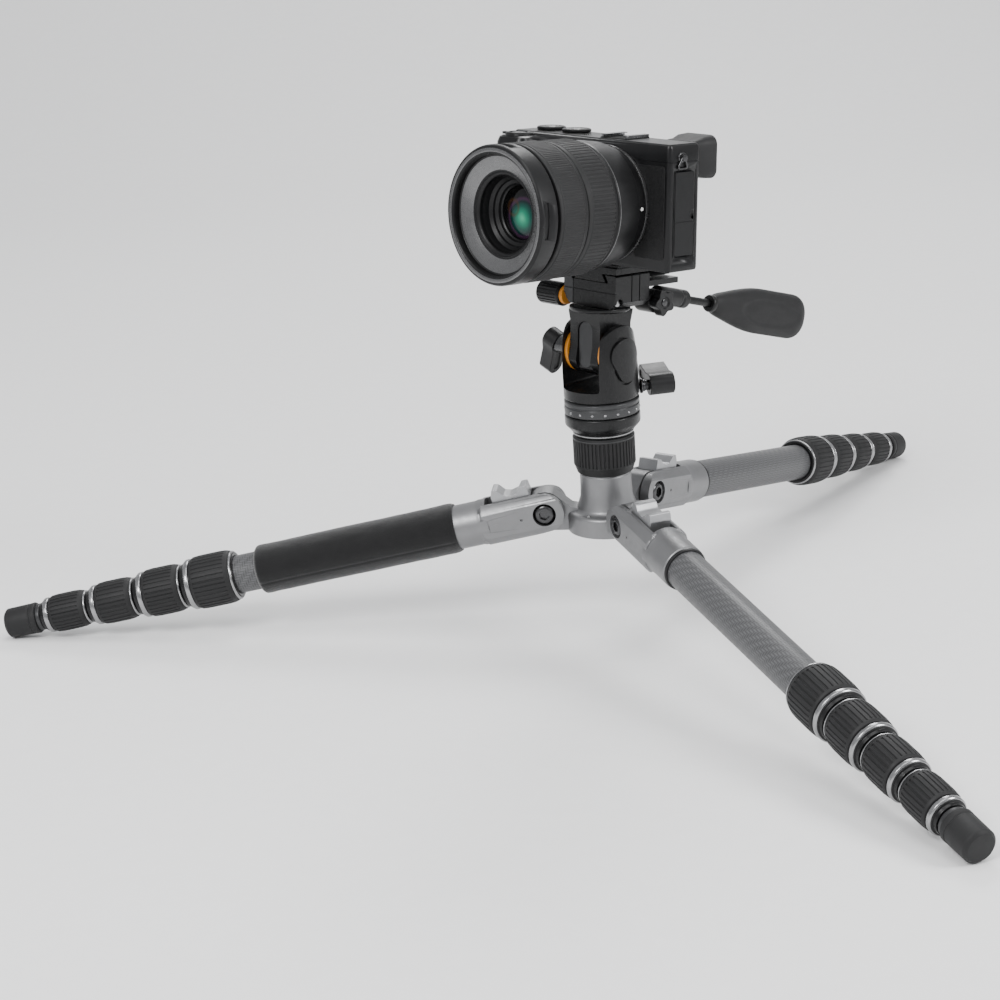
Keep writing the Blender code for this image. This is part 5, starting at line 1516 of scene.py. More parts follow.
    def side(self) -> None:
        """Connector door with its finger notch, and the strap lug with its ring."""
        door = Piece("side_door", slab(round_rect(4.6, 8.6, 18.8, 52.4, 1.2), 0, 0.55),
                     self.frame @ at(self.half - 0.2, 0, 0) @ SIDE_VIEW)
        notch = revolve([(0, 0), (2.6, 0), (2.6, 3), (0, 3)], 32, ease=0)
        door.combine("DIFFERENCE", (notch, at(18.6, 30, 0.2)), (box((0, 26.2, 0.3), (30, 26.6, 2)), Matrix()))
        door.bevel(0.2, 2)
        door.finish(Skin.BODY, "platform", slot="camera_black")
        for name, x, flip in (("right", self.half, 1), ("left", -self.half, -1)):
            lug = revolve([(0, -0.3), (2.9, -0.3), (2.9, 0.25), (2.4, 0.6), (1.3, 0.6), (1.3, 1.5), (1.9, 1.9),
                           (1.9, 2.4), (0, 2.4)], 40, ease=0.15)
            along = ALONG_X if flip > 0 else ALONG_MINUS_X
            Piece(f"strap_lug_{name}", lug, self.frame @ at(x, 9.5, 60) @ along).finish(
                Skin.DARK_STEEL, "platform", slot="bright_steel")
            ring = self.wire([(0, 0.2), (3.6, -7.4), (-3.6, -7.4)], 0.55)
            swing = self.frame @ at(x + flip * 1.5, 9.5, 61.6) @ turned(flip * 8, "Y") @ SIDE_VIEW
            Piece(f"strap_ring_{name}", ring, swing).finish(Skin.DARK_STEEL, "platform", slot="bright_steel")

    def wire(self, corners: Sequence[Point], radius: float) -> bpy.types.Mesh:
        """A closed loop of round wire through eased corners in XY."""
        path = [Vector((x, y, 0)) for x, y in eased(corners, 1.6, True, 5)]
        shape = bmesh.new()
        rings = []
        for index, point in enumerate(path):
            along = (path[(index + 1) % len(path)] - path[index - 1]).normalized()
            side = along.cross(Vector((0, 0, 1)))
            rings.append([shape.verts.new(point + radius * (math.cos(a) * side + math.sin(a) * Vector((0, 0, 1))))
                          for a in (math.pi * k / 6 for k in range(12))])
        for low, high in zip(rings, rings[1:] + rings[:1]):
            for k in range(12):
                shape.faces.new([low[k], low[(k + 1) % 12], high[(k + 1) % 12], high[k]])
        return finished_mesh("wire", shape, 60)

    def eyepiece(self) -> None:
        """The soft square eyecup and the finder's glass."""
        cup = lofted(31, 46.4, 57, 69.4, 5.0, [(0.9, -40.3), (0.0, -39.4), (0.5, -33.0), (2.2, -28.5), (2.6, -23.85)])
        window = lofted(34.7, 50.1, 53.3, 65.7, 2.5, [(-0.9, -41.5), (-0.7, -40.2), (0.0, -38.6), (1.2, -23.0)])
        rubber = Piece("eyecup_rubber", cup, self.frame @ FACING_BACK)
        rubber.combine("DIFFERENCE", (window, Matrix()))
        rubber.finish(Skin.RUBBER, "platform", ["eyecup"], "rubber")
        glass = revolve([(0, 0.9), (4, 0.75), (7.2, 0.15), (7.2, -0.3), (0, -0.3)], 64)
        Piece("finder_glass", glass, self.frame @ at(44, 27.6, 57.9) @ ALONG_Y).finish(Skin.GLASS, "platform",
                                                                                     slot="glass")

    def display(self) -> None:
        """The hinged screen with its bezel."""
        frame = lofted(-45, 5, 29, 55, 1.6, [(0.7, -28.3), (0.0, -27.7), (0.0, -24.4), (0.6, -23.8)])
        bezel = Piece("screen_bezel", frame, self.frame @ FACING_BACK)
        recess = lofted(-41.2, 8.4, 25.2, 52.0, 0.8, [(0, -29), (0, -27.9)])
        bezel.combine("DIFFERENCE", (recess, Matrix()))
        bezel.finish(Skin.PLASTIC, "screen", ["screen"], "screen")
        panel = lofted(-41.1, 8.5, 25.1, 51.9, 0.7, [(0.15, -28.2), (0.0, -28.1), (0.0, -27.8)])
        Piece("screen_panel", panel, self.frame @ FACING_BACK).finish(Skin.DISPLAY, "screen", slot="screen")

    def back_controls(self) -> None:
        """Control wheel, buttons and thumb rest on the back."""
        wheel = revolve([(3.6, 0), (9.4, 0), (9.4, 0.5), (8.6, 1.1), (4.2, 0.9), (3.6, 0.5)],
                        ribs=Ribs(60, 0.2, 0.1, 0.7, 0.5, 6), ease=0.15)
        back = self.frame @ at(44, self.depth - 0.05, 24) @ ALONG_Y
        Piece("control_wheel", wheel, back).finish(Skin.LENS, "platform", slot="dial_metal")
        caps = [(0, 0, 3.2, 1.2), (-8.6, 14.2, 2.3, 0.8), (8.6, 14.2, 2.3, 0.8), (-8.6, -14.2, 2.3, 0.8),
                (8.6, -14.2, 2.3, 0.8)]
        knobs = [(revolve([(0, -0.1), (r, -0.1), (r, t - 0.3), (r - 0.5, t), (0, t + 0.08)], 40, ease=0.15), at(x, y))
                 for x, y, r, t in caps]
        Piece("back_buttons", joined(knobs), back).finish(Skin.BEZEL, "platform", slot="dial_metal")
        rest = lofted(35, 39.5, 57.0, 45.2, 2.4, [(1.2, -25.1), (0.3, -24.6), (0.0, -23.4)])
        Piece("thumb_rest", rest, self.frame @ FACING_BACK).finish(Skin.CRINKLE, "platform", slot="camera_black")


# ------------------------------------------------------------------------------------------------ lens
@dataclass
class Lens:
    """The zoom lens. Z forward along its axis, X down, Y to the camera's right side."""

    frame: Matrix
    mount_radius: float = 31.0
    rear_radius: float = 34.8
    core_radius: float = 27.0
    zoom_radius: float = 35.9
    focus_radius: float = 36.2
    front_from: float = 70.3
    front_to: float = 82.0
    tube_radius: float = 21.5
    bore_radius: float = 19.9

    def build(self) -> None:
        """Build the fixed barrel, both rings, the inner barrel and the glass."""
        self.fixed()
        self.rings()
        self.front()
        self.optics()

    def fixed(self) -> None:
        """Mount, rear barrel, core and their marks."""
        m, r, c = self.mount_radius, self.rear_radius, self.core_radius
        barrel = revolve([(22, 0.4), (m - 0.6, 0.4), (m - 0.6, 2.6), (m, 3.0), (m, 8.0), (r - 1.6, 9.2), (r - 0.25, 20),
                          (r, 25.2), (r - 0.5, 26.1), (c, 26.1), (c, 70), (22, 70)], 128, ease=0.4)
        Piece("lens_rear_barrel", barrel, self.frame).finish(Skin.LENS, "platform", ["lens_barrel"], "camera_black")
        ring = revolve([(m - 1.0, 0.5), (m + 0.25, 0.5), (m + 0.25, 2.3), (m - 1.0, 2.3)], 128, ease=0.2)
        Piece("lens_mount_ring", ring, self.frame).finish(Skin.BEZEL, "platform", slot="bright_steel")
        fine = revolve([(r - 1.2, 24.3), (r + 0.06, 24.3), (r + 0.06, 24.75), (r - 1.2, 24.75)], 128, ease=0.05)
        Piece("lens_grey_line", fine, self.frame).finish(Skin.BEZEL, "platform", slot="dial_metal")
        dot = revolve([(0, 0), (0.95, 0), (0.95, 0.5), (0.6, 0.7), (0, 0.75)], 32, ease=0.1)
        place = turned(90, "Z") @ at(self.mount_radius - 0.1, 0, 5.6) @ ALONG_X
        Piece("lens_index_dot", dot, self.frame @ place).finish(Skin.MARK, "platform", slot="dial_metal")
        line = slab(round_rect(-0.25, -1.9, 0.25, 1.9, 0.2, 2), 0, 0.25)
        place = turned(-160, "Z") @ at(r - 0.2, 0, 21.6) @ turned(90, "Y") @ turned(90, "Z")
        Piece("zoom_index_line", line, self.frame @ place).finish(Skin.MARK, "platform", slot="dial_metal")

    def rings(self) -> None:
        """The ribbed zoom ring and the wide focus ring."""
        z, f, c = self.zoom_radius, self.focus_radius, self.core_radius + 0.4
        ribs = Ribs(96, 0.28, 29.4, 44.6, 0.34, 7)
        zoom = revolve([(c, 26.4), (z - 1.2, 26.4), (z - 0.9, 27.0), (z - 0.4, 28.4), (z, 29.0), (z, 45.0),
                        (z - 0.3, 45.5), (z - 0.3, 47.6), (z - 0.7, 48.0), (c, 48.0)], ribs=ribs, ease=0.2)
        Piece("zoom_ring_grip", zoom, self.frame).finish(Skin.RUBBER, "zoom_ring", ["zoom_ring"], "rubber")
        ticks = [(slab(round_rect(-0.16, -0.9, 0.16, 0.9, 0.1, 2), 0, 0.12),
                  turned(-162 + 14 * k, "Z") @ at(z - 0.33, 0, 46.6) @ turned(90, "Y") @ turned(90, "Z"))
                 for k in range(6)]
        Piece("zoom_ring_marks", joined(ticks), self.frame).finish(Skin.MARK, "zoom_ring", slot="dial_metal")
        ribs = Ribs(150, 0.16, 51.4, 65.2, 0.40, 6)
        focus = revolve([(c, 48.3), (f - 1.0, 48.3), (f - 0.5, 48.8), (f - 0.3, 50.4), (f, 50.9), (f, 65.7),
                         (f - 0.35, 66.2), (f - 0.35, 67.5), (f - 0.8, 68.0), (c, 68.0)], ribs=ribs, ease=0.2)
        Piece("focus_ring_grip", focus, self.frame).finish(Skin.RUBBER, "focus_ring", ["focus_ring"], "rubber")

    def front(self) -> None:
        """The front barrel with its stepped rim, grey cone and the slots for a hood."""
        f, low, high = self.focus_radius, self.front_from, self.front_to
        tube, bore = self.tube_radius, self.bore_radius
        shell = revolve([(bore, 36), (tube, 36), (tube, low), (f - 0.5, low), (f, low + 0.5), (f, high - 1.4),
                         (f - 0.5, high - 0.3), (f - 1.2, high), (32.2, high), (31.5, high - 0.7), (31.2, high - 3.6),
                         (30.4, high - 4.2), (tube + 0.3, high - 7.3), (bore + 0.6, high - 7.9), (bore, high - 8.6)],
                        144, ease=0.25)
        barrel = Piece("front_barrel", shell, self.frame)
        slots = []
        for middle in (0, 90, 180):
            outline = arc(0, 0, f - 0.7, middle - 15, middle + 15, 10) + arc(0, 0, f + 2, middle + 15, middle - 15, 10)
            slots.append((slab(outline, high - 5.6, high - 3.2), Matrix()))
        barrel.combine("DIFFERENCE", *slots)
        barrel.finish(Skin.LENS, "inner_barrel", ["inner_barrel"], "camera_black")
        rim = revolve([(32.5, high - 0.6), (34.5, high - 0.6), (34.5, high + 0.0), (34.1, high + 0.12),
                       (32.9, high + 0.12), (32.5, high + 0.0)], 144, ease=0.08)
        Piece("front_rim", rim, self.frame).finish(Skin.BEZEL, "inner_barrel", slot="dial_metal")
        # A near-black ring laid in the gap behind the rim: painted shade.
        gap = revolve([(30.75, high - 4.1), (31.35, high - 3.9), (31.65, high - 0.9), (31.45, high - 0.9)], 128, ease=0)
        Piece("front_gap_shade", gap, self.frame).finish(Skin.GROOVE, "inner_barrel", slot="camera_black")
        cone = revolve([(22.9, high - 6.9), (30.1, high - 4.22), (30.1, high - 4.6), (22.9, high - 7.3)], 144, ease=0.1)
        Piece("front_cone", cone, self.frame).finish(Skin.BEZEL, "inner_barrel", slot="dial_metal")
        thread = []
        for k in range(5):
            z = high - 0.9 - 0.55 * k
            thread.append((revolve([(31.75 - 0.07 * k, z), (31.2 - 0.07 * k, z - 0.22), (31.75 - 0.07 * k, z - 0.44)],
                                   128, ease=0), Matrix()))
        Piece("filter_thread", joined(thread), self.frame).finish(Skin.LENS, "inner_barrel", slot="camera_black")
        steps = [(19.95, 69.2), (tube + 0.9, high - 7.6), (tube + 1.2, high - 7.2), (tube + 0.2, high - 7.0),
                 (bore - 0.6, 70.2), (bore - 0.9, 68.0), (17.4, 66.6), (17.1, 65.4), (15.3, 64.6), (14.9, 63.2),
                 (14.1, 62.6), (14.1, 61.2), (19.9, 61.2)]
        Piece("glass_retainer", revolve(steps, 128, ease=0.12), self.frame).finish(Skin.LENS, "inner_barrel",
                                                                                slot="camera_black")

    def optics(self) -> None:
        """The domed front element."""
        reach, edge, rise = 14.4, 61.6, 2.6
        dome = [(0, 60), (reach, 60), (reach, edge)]
        dome += [(reach * math.cos(a), edge + rise * math.sin(a)) for a in (math.pi / 2 * k / 16 for k in range(1, 16))]
        dome += [(0, edge + rise)]
        Piece("front_element", revolve(dome, 112, ease=0, sharp=50), self.frame).finish(Skin.GLASS, "inner_barrel",
                                                                              ["front_glass"], "glass")


# ------------------------------------------------------------------------------------------------ legs
LEG_SIDE = Matrix(((0, 1, 0, 0), (0, 0, 1, 0), (1, 0, 0, 0), (0, 0, 0, 1)))   # outline x to Z, y to X, depth to Y


@dataclass
class Leg:
    """One five-section leg. Z along it to the foot, X up, Y across."""

    side: str
    frame: Matrix
    padded: bool = False
    half_width: float = 12.5
    half_height: float = 11.5
    knuckle: float = 11.0
    trim: float = 14.3
    step: float = 36.0
    sleeve: float = 12.6
    carbon_from: float = 56.0
    stop_half: float = 6.3
    tongue: float = 11.4
    tubes: tuple[float, ...] = (11.0, 9.5, 8.2, 6.9, 5.6)
    tops: tuple[float, ...] = (40.0, 42.0, 46.0, 50.0, 54.0)
    lock_radii: tuple[float, ...] = (15.5, 14.0, 12.4, 11.0)
    lock_ends: tuple[float, ...] = (183.0, 215.0, 244.5, 274.0, 303.5)
    foot_to: float = 326.0
    foot_radius: float = 9.05

    def __post_init__(self) -> None:
        """Name the body that the leg's casting belongs to."""
        self.body = f"leg_{self.side}"

    def named(self, part: str) -> str:
        """A piece's name on this leg."""
        return f"{self.side}_leg_{part}"

    def build(self) -> None:
        """Build the casting and its fittings, then every section down to the foot."""
        self.casting()
        self.bolt()
        self.stop()
        self.upper_tube()
        for index in range(4):
            self.lock(index)
            self.tube(index + 1)
        self.foot()

    def casting(self) -> None:
        """The forked casting that turns on the hub's arm and holds the carbon tube."""
        w, h, k, s = self.half_width, self.half_height, self.knuckle, self.step
        outline = arc(0, 0, k, 90, 270, 32) + [(3, -h + 0.2), (8, -h), (s - 1.4, -h), (s, -h + 1.2), (s, h - 1.2),
                                               (s - 1.4, h), (8, h), (3, h - 0.2)]
        fork = Piece(self.named("casting"), slab(outline, -w, w), self.frame @ LEG_SIDE)
        local = LEG_SIDE.inverted()
        blank = revolve([(0, -20), (self.trim, -20), (self.trim, s - 1.6), (self.trim - 1.2, s + 0.4), (0, s + 0.4)], 96,
                        ease=0)
        fork.combine("INTERSECT", (blank, local))
        collar = revolve([(0, s - 4), (self.sleeve + 0.5, s - 4), (self.sleeve + 0.35, s + 1.2), (self.sleeve, s + 2.4),
                          (self.sleeve, 55.2), (self.sleeve - 0.5, self.carbon_from), (0, self.carbon_from)], 96, ease=0.3)
        fork.combine("UNION", (collar, local))
        hinge = box((-30, -6.8, -30), (30, 6.8, 16))
        pawl = box((2.2, -6.8, -0.5), (30, 6.8, 32.5))
        pin = revolve([(0, -20), (3.45, -20), (3.45, 20), (0, 20)], 40, ease=0)
        room = self.tubes[1] + 0.3
        bore = revolve([(0, s + 3), (room, s + 3), (room, self.carbon_from + 5), (0, self.carbon_from + 5)], 80, ease=0)
        cuts = [(hinge, local), (pawl, local), (pin, local @ ALONG_Y), (bore, local)]
        for sign in (-1, 1):
            low, high = sorted((sign * 9.9, sign * 20))
            cuts.append((revolve([(0, low), (6.5, low), (6.5, high), (0, high)], 56, ease=0), local @ ALONG_Y))
            low, high = sorted((sign * 11.7, sign * 20))
            cuts.append((revolve([(0, low), (0.75, low), (0.75, high), (0, high)], 20, ease=0),
                         local @ at(0, 0, 13.2) @ ALONG_Y))
        fork.combine("DIFFERENCE", *cuts)
        fork.bevel(0.5, 3)
        fork.finish(Skin.LIGHT_ALLOY, self.body, [f"{self.body}_upper"], "light_alloy")
        # A near-black ring on the step of the casting: painted shade.
        line = revolve([(self.sleeve - 1, s + 0.1), (self.trim - 1.4, s + 0.1), (self.trim - 1.4, s + 0.55),
                        (self.sleeve - 1, s + 0.55)], 96, ease=0)
        Piece(self.named("step_shade_ring"), line, self.frame).finish(Skin.GROOVE, self.body, slot="black_plastic")

    def bolt(self) -> None:
        """The pivot bolt: a domed head with a hexagon socket on each side."""
        r, inner, outer = 5.5, 10.15, 12.4
        dome = [(3.3, outer)] + [(3.3 + (r - 3.3) * math.sin(a), outer - 1.5 + 1.5 * math.cos(a))
                                 for a in (math.pi / 2 * k / 5 for k in range(1, 6))]
        right = dome + [(r, inner)]
        profile = [(0, -outer)] + [(x, -y) for x, y in right] + [(3.2, -inner), (3.2, inner)] + right[::-1] + [(0, outer)]
        bolt = Piece(self.named("bolt"), revolve(profile, 64, ease=0), self.frame @ ALONG_Y)
        hexagon = arc(0, 0, 3.1, 0, 300, 5)
        bolt.combine("DIFFERENCE", (slab(hexagon, outer - 1.7, outer + 2), Matrix()),
                     (slab(hexagon, -outer - 2, -outer + 1.7), Matrix()))
        bolt.bevel(0.15, 2)
        bolt.finish(Skin.DARK_STEEL, self.body, [f"{self.body}_bolt"], "bright_steel")
        # Near-black rings on the floors of the bolt recesses: painted shade.
        rings = [(revolve([(5.4, 9.92), (6.45, 9.92), (6.45, 10.1), (5.4, 10.1)], 56, ease=0),
                  turned(180 * k, "Z") @ ALONG_Y) for k in range(2)]
        Piece(self.named("bolt_recess_shade"), joined(rings), self.frame).finish(Skin.GROOVE, self.body, slot="black_plastic")

    def stop(self) -> None:
        """The angle stop that slides out of the casting: two horns with a saddle between."""
        start, end, top, saddle = 6.0, 28.0, 18.7, 13.4
        nose = math.sqrt((self.tongue + 0.3) ** 2 - start ** 2) + 0.3
        middle = (start + end) / 2
        outline = [(start, nose), (start + 7, nose), (start + 7, 3.0), (end - 1, 3.0), (end, top - 4),
                   (end - 1.4, top), (end - 4.2, top - 0.6), (end - 7.5, saddle + 0.8), (middle, saddle),
                   (start + 7, saddle + 0.9), (start + 4.6, top - 1.4), (start + 1, top - 1.4)]
        tab = Piece(self.named("stop_tab"), slab(eased(outline, 0.7, True, 4), -self.stop_half, self.stop_half),
                    self.frame @ LEG_SIDE)
        tab.bevel(0.45, 3)
        tab.finish(Skin.PALE_ALLOY, f"{self.body}_stop", [f"{self.body}_stop"], "light_alloy")

    def upper_tube(self) -> None:
        """The widest carbon tube with a dark ring where it leaves the casting."""
        r, low, high = self.tubes[0], self.carbon_from, self.lock_ends[0]
        seat = high + 0.55 * (self.lock_ends[1] - high) - 0.3
        tube = revolve([(r - 1.2, low - 8), (r, low - 8), (r, seat), (r - 1.2, seat)], 96, ease=0.2)
        Piece(self.named("carbon_tube"), tube, self.frame).finish(Skin.CARBON, self.body, slot="carbon")
        ring = revolve([(r - 0.3, low + 0.05), (r + 1.25, low + 0.05), (r + 1.25, low + 1.3), (r + 0.7, low + 1.7),
                        (r - 0.3, low + 1.7)], 96, ease=0.2)
        Piece(self.named("carbon_ring"), ring, self.frame).finish(Skin.PLASTIC, self.body, slot="black_plastic")

    def lock(self, index: int) -> None:
        """One twist lock: a ribbed rubber grip between a thin and a wide bright ring.

        Args:
            index: Which lock, counted from the hub.
        """
        r, low, high = self.lock_radii[index], self.lock_ends[index], self.lock_ends[index + 1] - 0.3
        body = f"{self.body}_lock_{index + 1}"
        wide, narrow = self.tubes[index] + 0.3, self.tubes[index + 1] + 0.3
        seat = low + 0.55 * (self.lock_ends[index + 1] - low)
        first, last = low + 5.0, high - 6.4
        core = revolve([(wide, low), (r - 2.6, low), (r - 1.9, low + 0.7), (r - 1.9, low + 1.7), (r - 1.4, low + 2.2),
                        (r - 1.4, high - 5.9), (r - 1.6, high - 1.9), (r - 2.6, high - 1.6), (r - 2.9, high),
                        (narrow, high), (narrow, seat), (wide, seat)], 96, ease=0.25)
        Piece(self.named(f"lock_{index + 1}_core"), core, self.frame).finish(Skin.DARK_ALLOY, body, [body], "dark_alloy")
        ribs = Ribs(34 if index < 2 else 28, 0.42, first - 0.2, last - 1.4, 0.30, 10)
        grip = revolve([(r - 2.0, low + 2.0), (r - 1.5, low + 2.0), (r - 0.8, low + 3.0), (r - 0.25, first),
                        (r, first + 3.4), (r, last - 4.5), (r - 0.3, last - 1.0), (r - 0.9, last + 0.3),
                        (r - 2.0, last + 0.5)], ribs=ribs, ease=0.4)
        Piece(self.named(f"lock_{index + 1}_grip"), grip, self.frame).finish(Skin.RUBBER, body, slot="rubber")
        thin = revolve([(r - 2.6, low + 0.55), (r - 1.9, low + 0.55), (r - 1.3, low + 1.1), (r - 1.3, low + 1.8),
                        (r - 2.6, low + 1.8)], 96, ease=0.2)
        Piece(self.named(f"lock_{index + 1}_thin_ring"), thin, self.frame).finish(Skin.STEEL, body, slot="bright_steel")
        band = revolve([(r - 2.0, last + 0.9), (r - 1.2, last + 0.9), (r - 0.75, last + 1.5), (r - 0.75, high - 3.1),
                        (r - 1.4, high - 2.4), (r - 2.0, high - 2.4)], 96, ease=0.3)
        Piece(self.named(f"lock_{index + 1}_band"), band, self.frame).finish(Skin.STEEL, body, slot="bright_steel")

    def tube(self, index: int) -> None:
        """One of the thinner tubes.

        Args:
            index: Which tube, where 0 is the widest.
        """
        r, top = self.tubes[index], self.tops[index]
        body = f"{self.body}_tube_{index + 1}"
        if index == 4:
            end, inner = self.lock_ends[4] + 1, 0.0
        else:
            low = self.lock_ends[index]
            end, inner = low + 0.55 * (self.lock_ends[index + 1] - low) - 0.3, self.tubes[index + 1] + 0.3
        profile = ([(0, top), (r - 0.3, top), (r, top + 0.3), (r, end), (0, end)] if inner == 0 else
                   [(inner, top), (r - 0.25, top), (r, top + 0.25), (r, end), (inner, end)])
        Piece(self.named(f"tube_{index + 1}"), revolve(profile, 80, ease=0.15), self.frame).finish(
            Skin.CARBON, body, [body], "carbon")

    def foot(self) -> None:
        """The rubber foot with its groove and dark alloy collar."""
        low, high, r = self.lock_ends[4], self.foot_to, self.foot_radius
        body = f"{self.body}_tube_5"
        chamfer = 1.6
        rubber = revolve([(0, low + 3.0), (r - 0.6, low + 3.0), (r, low + 3.8), (r - 0.1, low + 6.4),
                          (r - 0.45, low + 6.7), (r - 0.45, low + 7.2), (r - 0.12, low + 7.5),
                          (r - 0.3, high - chamfer - 0.2), (r - 0.6, high - chamfer + 0.3),
                          (r - 0.3 - chamfer, high - 0.1), (0, high - 0.1)], 80, ease=0.25)
        Piece(self.named("foot"), rubber, self.frame).settle().finish(Skin.RUBBER, body, slot="rubber")
        collar = revolve([(0, low + 0.2), (r - 1.6, low + 0.2), (r - 1.2, low + 0.8), (r - 1.2, low + 2.6),
                          (r - 1.6, low + 3.1), (0, low + 3.1)], 80, ease=0.2)
        Piece(self.named("foot_collar"), collar, self.frame).finish(Skin.MID_ALLOY, body, slot="dark_alloy")


@dataclass
class FoamSleeve:
    """The soft sleeve round the left leg, shaped point by point: pinched ends, a seam and a slack skin."""

    frame: Matrix
    body: str = "leg_left"
    low: float = 51.5
    high: float = 170.0
    outer: float = 14.1
    wide_bore: float = 12.95
    bore: float = 11.35
    step: float = 56.4
    rings: int = 150
    sides: int = 144

    def radius(self, angle: float, height: float) -> float:
        """Outer radius at an angle and height.

        Args:
            angle: Angle round the leg.
            height: Distance along the leg.

        Returns:
            The radius in millimetres.
        """
        from_end = min(height - self.low, self.high - height)
        ends = 1 - max(0.0, 1 - from_end / 2.4) ** 2.2
        lip = 0.16 * math.exp(-((from_end - 4.5) / 2.5) ** 2)
        slack = noise.noise(Vector((math.cos(angle) * 1.3, math.sin(angle) * 1.3, height * 0.035))) * 0.32
        dents = noise.noise(Vector((math.cos(angle) * 3.1, math.sin(angle) * 3.1, height * 0.11 + 7))) * 0.12
        turn = (angle - math.radians(250) + math.pi) % (2 * math.pi) - math.pi
        seam = 0.34 * math.exp(-(turn / 0.045) ** 2)
        inner = self.wide_bore if height < self.step else self.bore
        return inner + 0.35 + (self.outer - inner - 0.35 + lip + slack * 0.6 + dents - seam) * max(0.12, ends)

    def build(self) -> None:
        shape = bmesh.new()
        grid = []
        for k in range(self.rings + 1):
            share = k / self.rings
            height = self.low + (self.high - self.low) * share
            grid.append([shape.verts.new((self.radius(a, height) * math.cos(a), self.radius(a, height) * math.sin(a), height))
                         for a in (2 * math.pi * s / self.sides for s in range(self.sides))])
        for radius, height in ((self.bore, self.high), (self.bore, self.step), (self.wide_bore, self.step),
                               (self.wide_bore, self.low)):
            grid.append([shape.verts.new((radius * math.cos(a), radius * math.sin(a), height))
                         for a in (2 * math.pi * s / self.sides for s in range(self.sides))])
        for low, high in zip(grid, grid[1:] + grid[:1]):
            for s in range(self.sides):
                shape.faces.new([low[s], low[(s + 1) % self.sides], high[(s + 1) % self.sides], high[s]])
        sleeve = Piece("foam_sleeve_skin", finished_mesh("foam", shape, 60), self.frame)
        made = sleeve.finish(Skin.FOAM, self.body, ["foam_sleeve"], "foam")


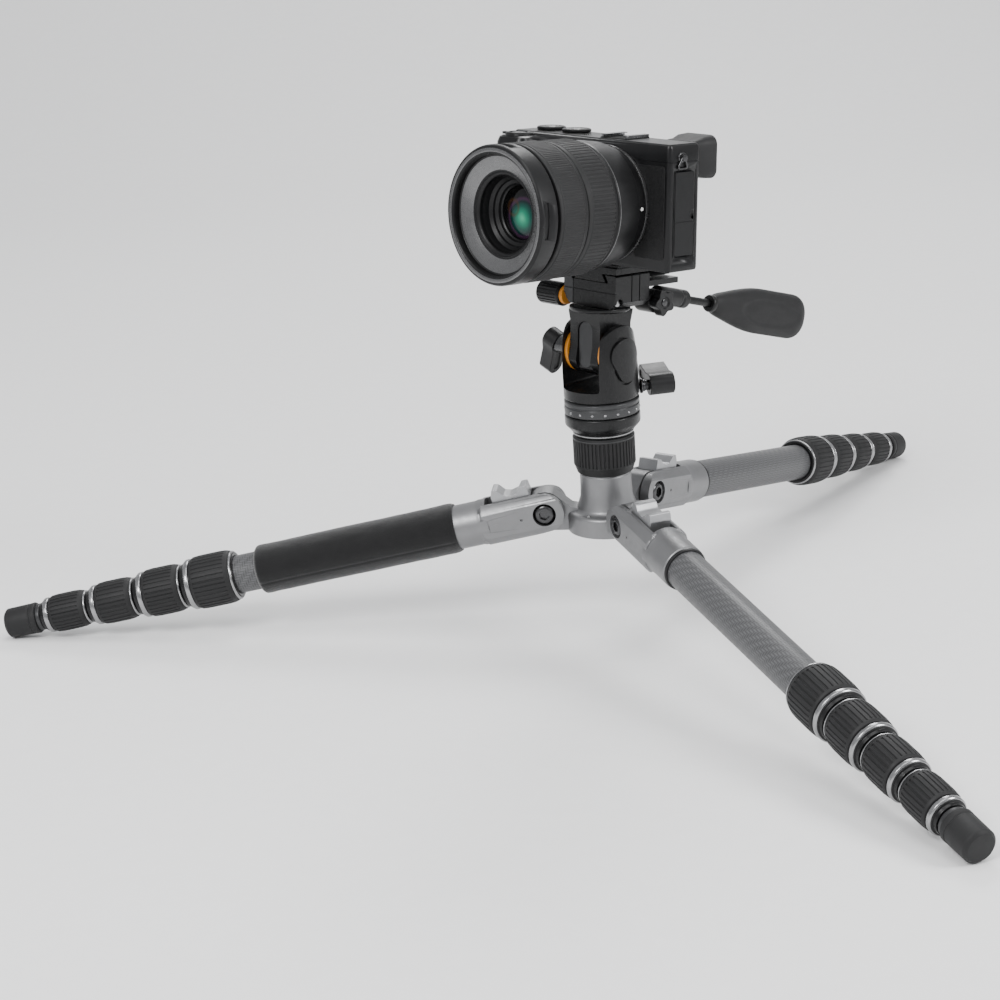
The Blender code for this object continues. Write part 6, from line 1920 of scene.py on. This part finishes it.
# ------------------------------------------------------------------------------------------------ studio
@dataclass
class Studio:
    """Floor, light and camera."""

    ground: Vector
    azimuth: float = 48.8
    elevation: float = 17.67
    roll: float = -3.83
    distance: float = 1.300
    lens: float = 83.54
    aside: float = -0.05993
    target_height: float = 0.07352

    def build(self) -> None:
        """Set up the whole studio."""
        self.floor()
        self.lights()
        self.camera()

    def floor(self) -> None:
        """A pale sweep that rises behind the object."""
        shape = bmesh.new()
        rows = []
        profile = [(-3.0, 0.0), (1.4, 0.0)] + [(1.4 + 1.2 * math.sin(a), 1.2 - 1.2 * math.cos(a))
                                               for a in (math.pi / 2 * k / 14 for k in range(1, 15))] + [(2.6, 4.0)]
        for distance, height in profile:
            rows.append([shape.verts.new((x, distance, height)) for x in (-6.0, 6.0)])
        for low, high in zip(rows, rows[1:]):
            shape.faces.new([low[0], low[1], high[1], high[0]])
        mesh = bpy.data.meshes.new("sweep")
        shape.normal_update()
        shape.to_mesh(mesh)
        shape.free()
        for face in mesh.polygons:
            face.use_smooth = True
        sweep = bpy.data.objects.new("studio_sweep", mesh)
        sweep.matrix_world = Matrix.Rotation(math.radians(self.azimuth), 4, "Z")
        bpy.context.scene.collection.objects.link(sweep)
        mesh.materials.append(Finish("studio_paper", (0.86, 0.86, 0.86), 0.75, mottle=0.02, grain=1.0,
                                     grain_height=0.02).material())

    def lights(self) -> None:
        """A bright even room with a large key, a fill and a rim light."""
        world = bpy.data.worlds.new("studio_air")
        world.use_nodes = True
        background = world.node_tree.nodes["Background"]
        background.inputs["Color"].default_value = (0.97, 0.98, 1.0, 1.0)
        background.inputs["Strength"].default_value = 0.75
        bpy.context.scene.world = world
        for name, azimuth, height, reach, size, power in (
                ("key", -35, 1.3, 1.4, 0.7, 26), ("fill", 62, 0.8, 1.3, 0.5, 13), ("rim", 170, 1.6, 1.6, 0.8, 18),
                ("top", 20, 2.2, 0.3, 1.4, 18)):
            light = bpy.data.lights.new(name, "AREA")
            light.shape, light.size, light.energy = "DISK", size, power
            holder = bpy.data.objects.new(f"light_{name}", light)
            turn = math.radians(self.azimuth + azimuth)
            where = self.ground + Vector((math.sin(turn) * reach, -math.cos(turn) * reach, height))
            aim = (self.ground + Vector((0, 0, 0.15)) - where).to_track_quat("-Z", "Y").to_matrix().to_4x4()
            holder.matrix_world = Matrix.Translation(where) @ aim
            bpy.context.scene.collection.objects.link(holder)

    def camera(self) -> None:
        """The viewpoint, rolled a little as it stands."""
        a, e, roll = (math.radians(v) for v in (self.azimuth, self.elevation, self.roll))
        back = Vector((math.sin(a) * math.cos(e), -math.cos(a) * math.cos(e), math.sin(e)))
        level = (-back).cross(Vector((0, 0, 1))).normalized()
        upright = level.cross(-back)
        right = level * math.cos(roll) + upright * math.sin(roll)
        up = upright * math.cos(roll) - level * math.sin(roll)
        where = self.ground + right * self.aside + Vector((0, 0, self.target_height)) + back * self.distance
        view = bpy.data.cameras.new("viewpoint")
        view.lens, view.sensor_width = self.lens, 36.0
        view.clip_start, view.clip_end = 0.05, 50.0
        holder = bpy.data.objects.new("viewpoint", view)
        holder.matrix_world = Matrix.Translation(where) @ Matrix((right, up, back)).transposed().to_4x4()
        bpy.context.scene.collection.objects.link(holder)
        bpy.context.scene.camera = holder


def main() -> None:
    """Build every sub-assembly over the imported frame."""
    logging.basicConfig(level=logging.INFO, format="%(name)s: %(message)s")
    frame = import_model()
    layout = Layout({joint["name"]: joint for joint in frame["joints"]})
    ground, tilt, up = layout.ground(), layout.tilt(), Vector((0, 0, 1))
    hub_middle = layout.point("pan")
    floor_level = Matrix.Translation(Vector((hub_middle.x, hub_middle.y, 0)))
    sides = ("left", "front", "back")
    azimuths = []
    for side in sides:
        arm = layout.point(f"leg_{side}_fold") - hub_middle
        azimuths.append(math.degrees(math.atan2(arm.y, arm.x)))
    dials = {name: Matrix.Translation(layout.point(f"{name}_turn")) @ tilt.to_3x3().to_4x4()
             for name in ("mode_dial", "control_dial")}
    dials["shutter_button"] = layout.camera() @ at(-48.5, -6, 65.3)
    knob_frame = layout.screw("tilt_knob_turn", up)
    parts: list[Any] = [
        Hub(floor_level, tuple(azimuths)),
        Column(floor_level),
        Head(floor_level, knob_frame, layout.screw("pan_knob_turn", -up)),
        Neck(tilt),
        Clamp(tilt, layout.screw("clamp_knob_turn", up)),
        Handle(layout.handle(12.5)),
        CameraBody(layout.camera(), dials),
        Lens(layout.lens()),
    ]
    parts += [Leg(side, layout.leg(side)) for side in sides]
    parts.append(FoamSleeve(layout.leg("left")))
    for part in parts:
        part.build()
        LOG.info("built %s", type(part).__name__)
    Studio(floor_level.translation).build()


if __name__ == "__main__":
    main()
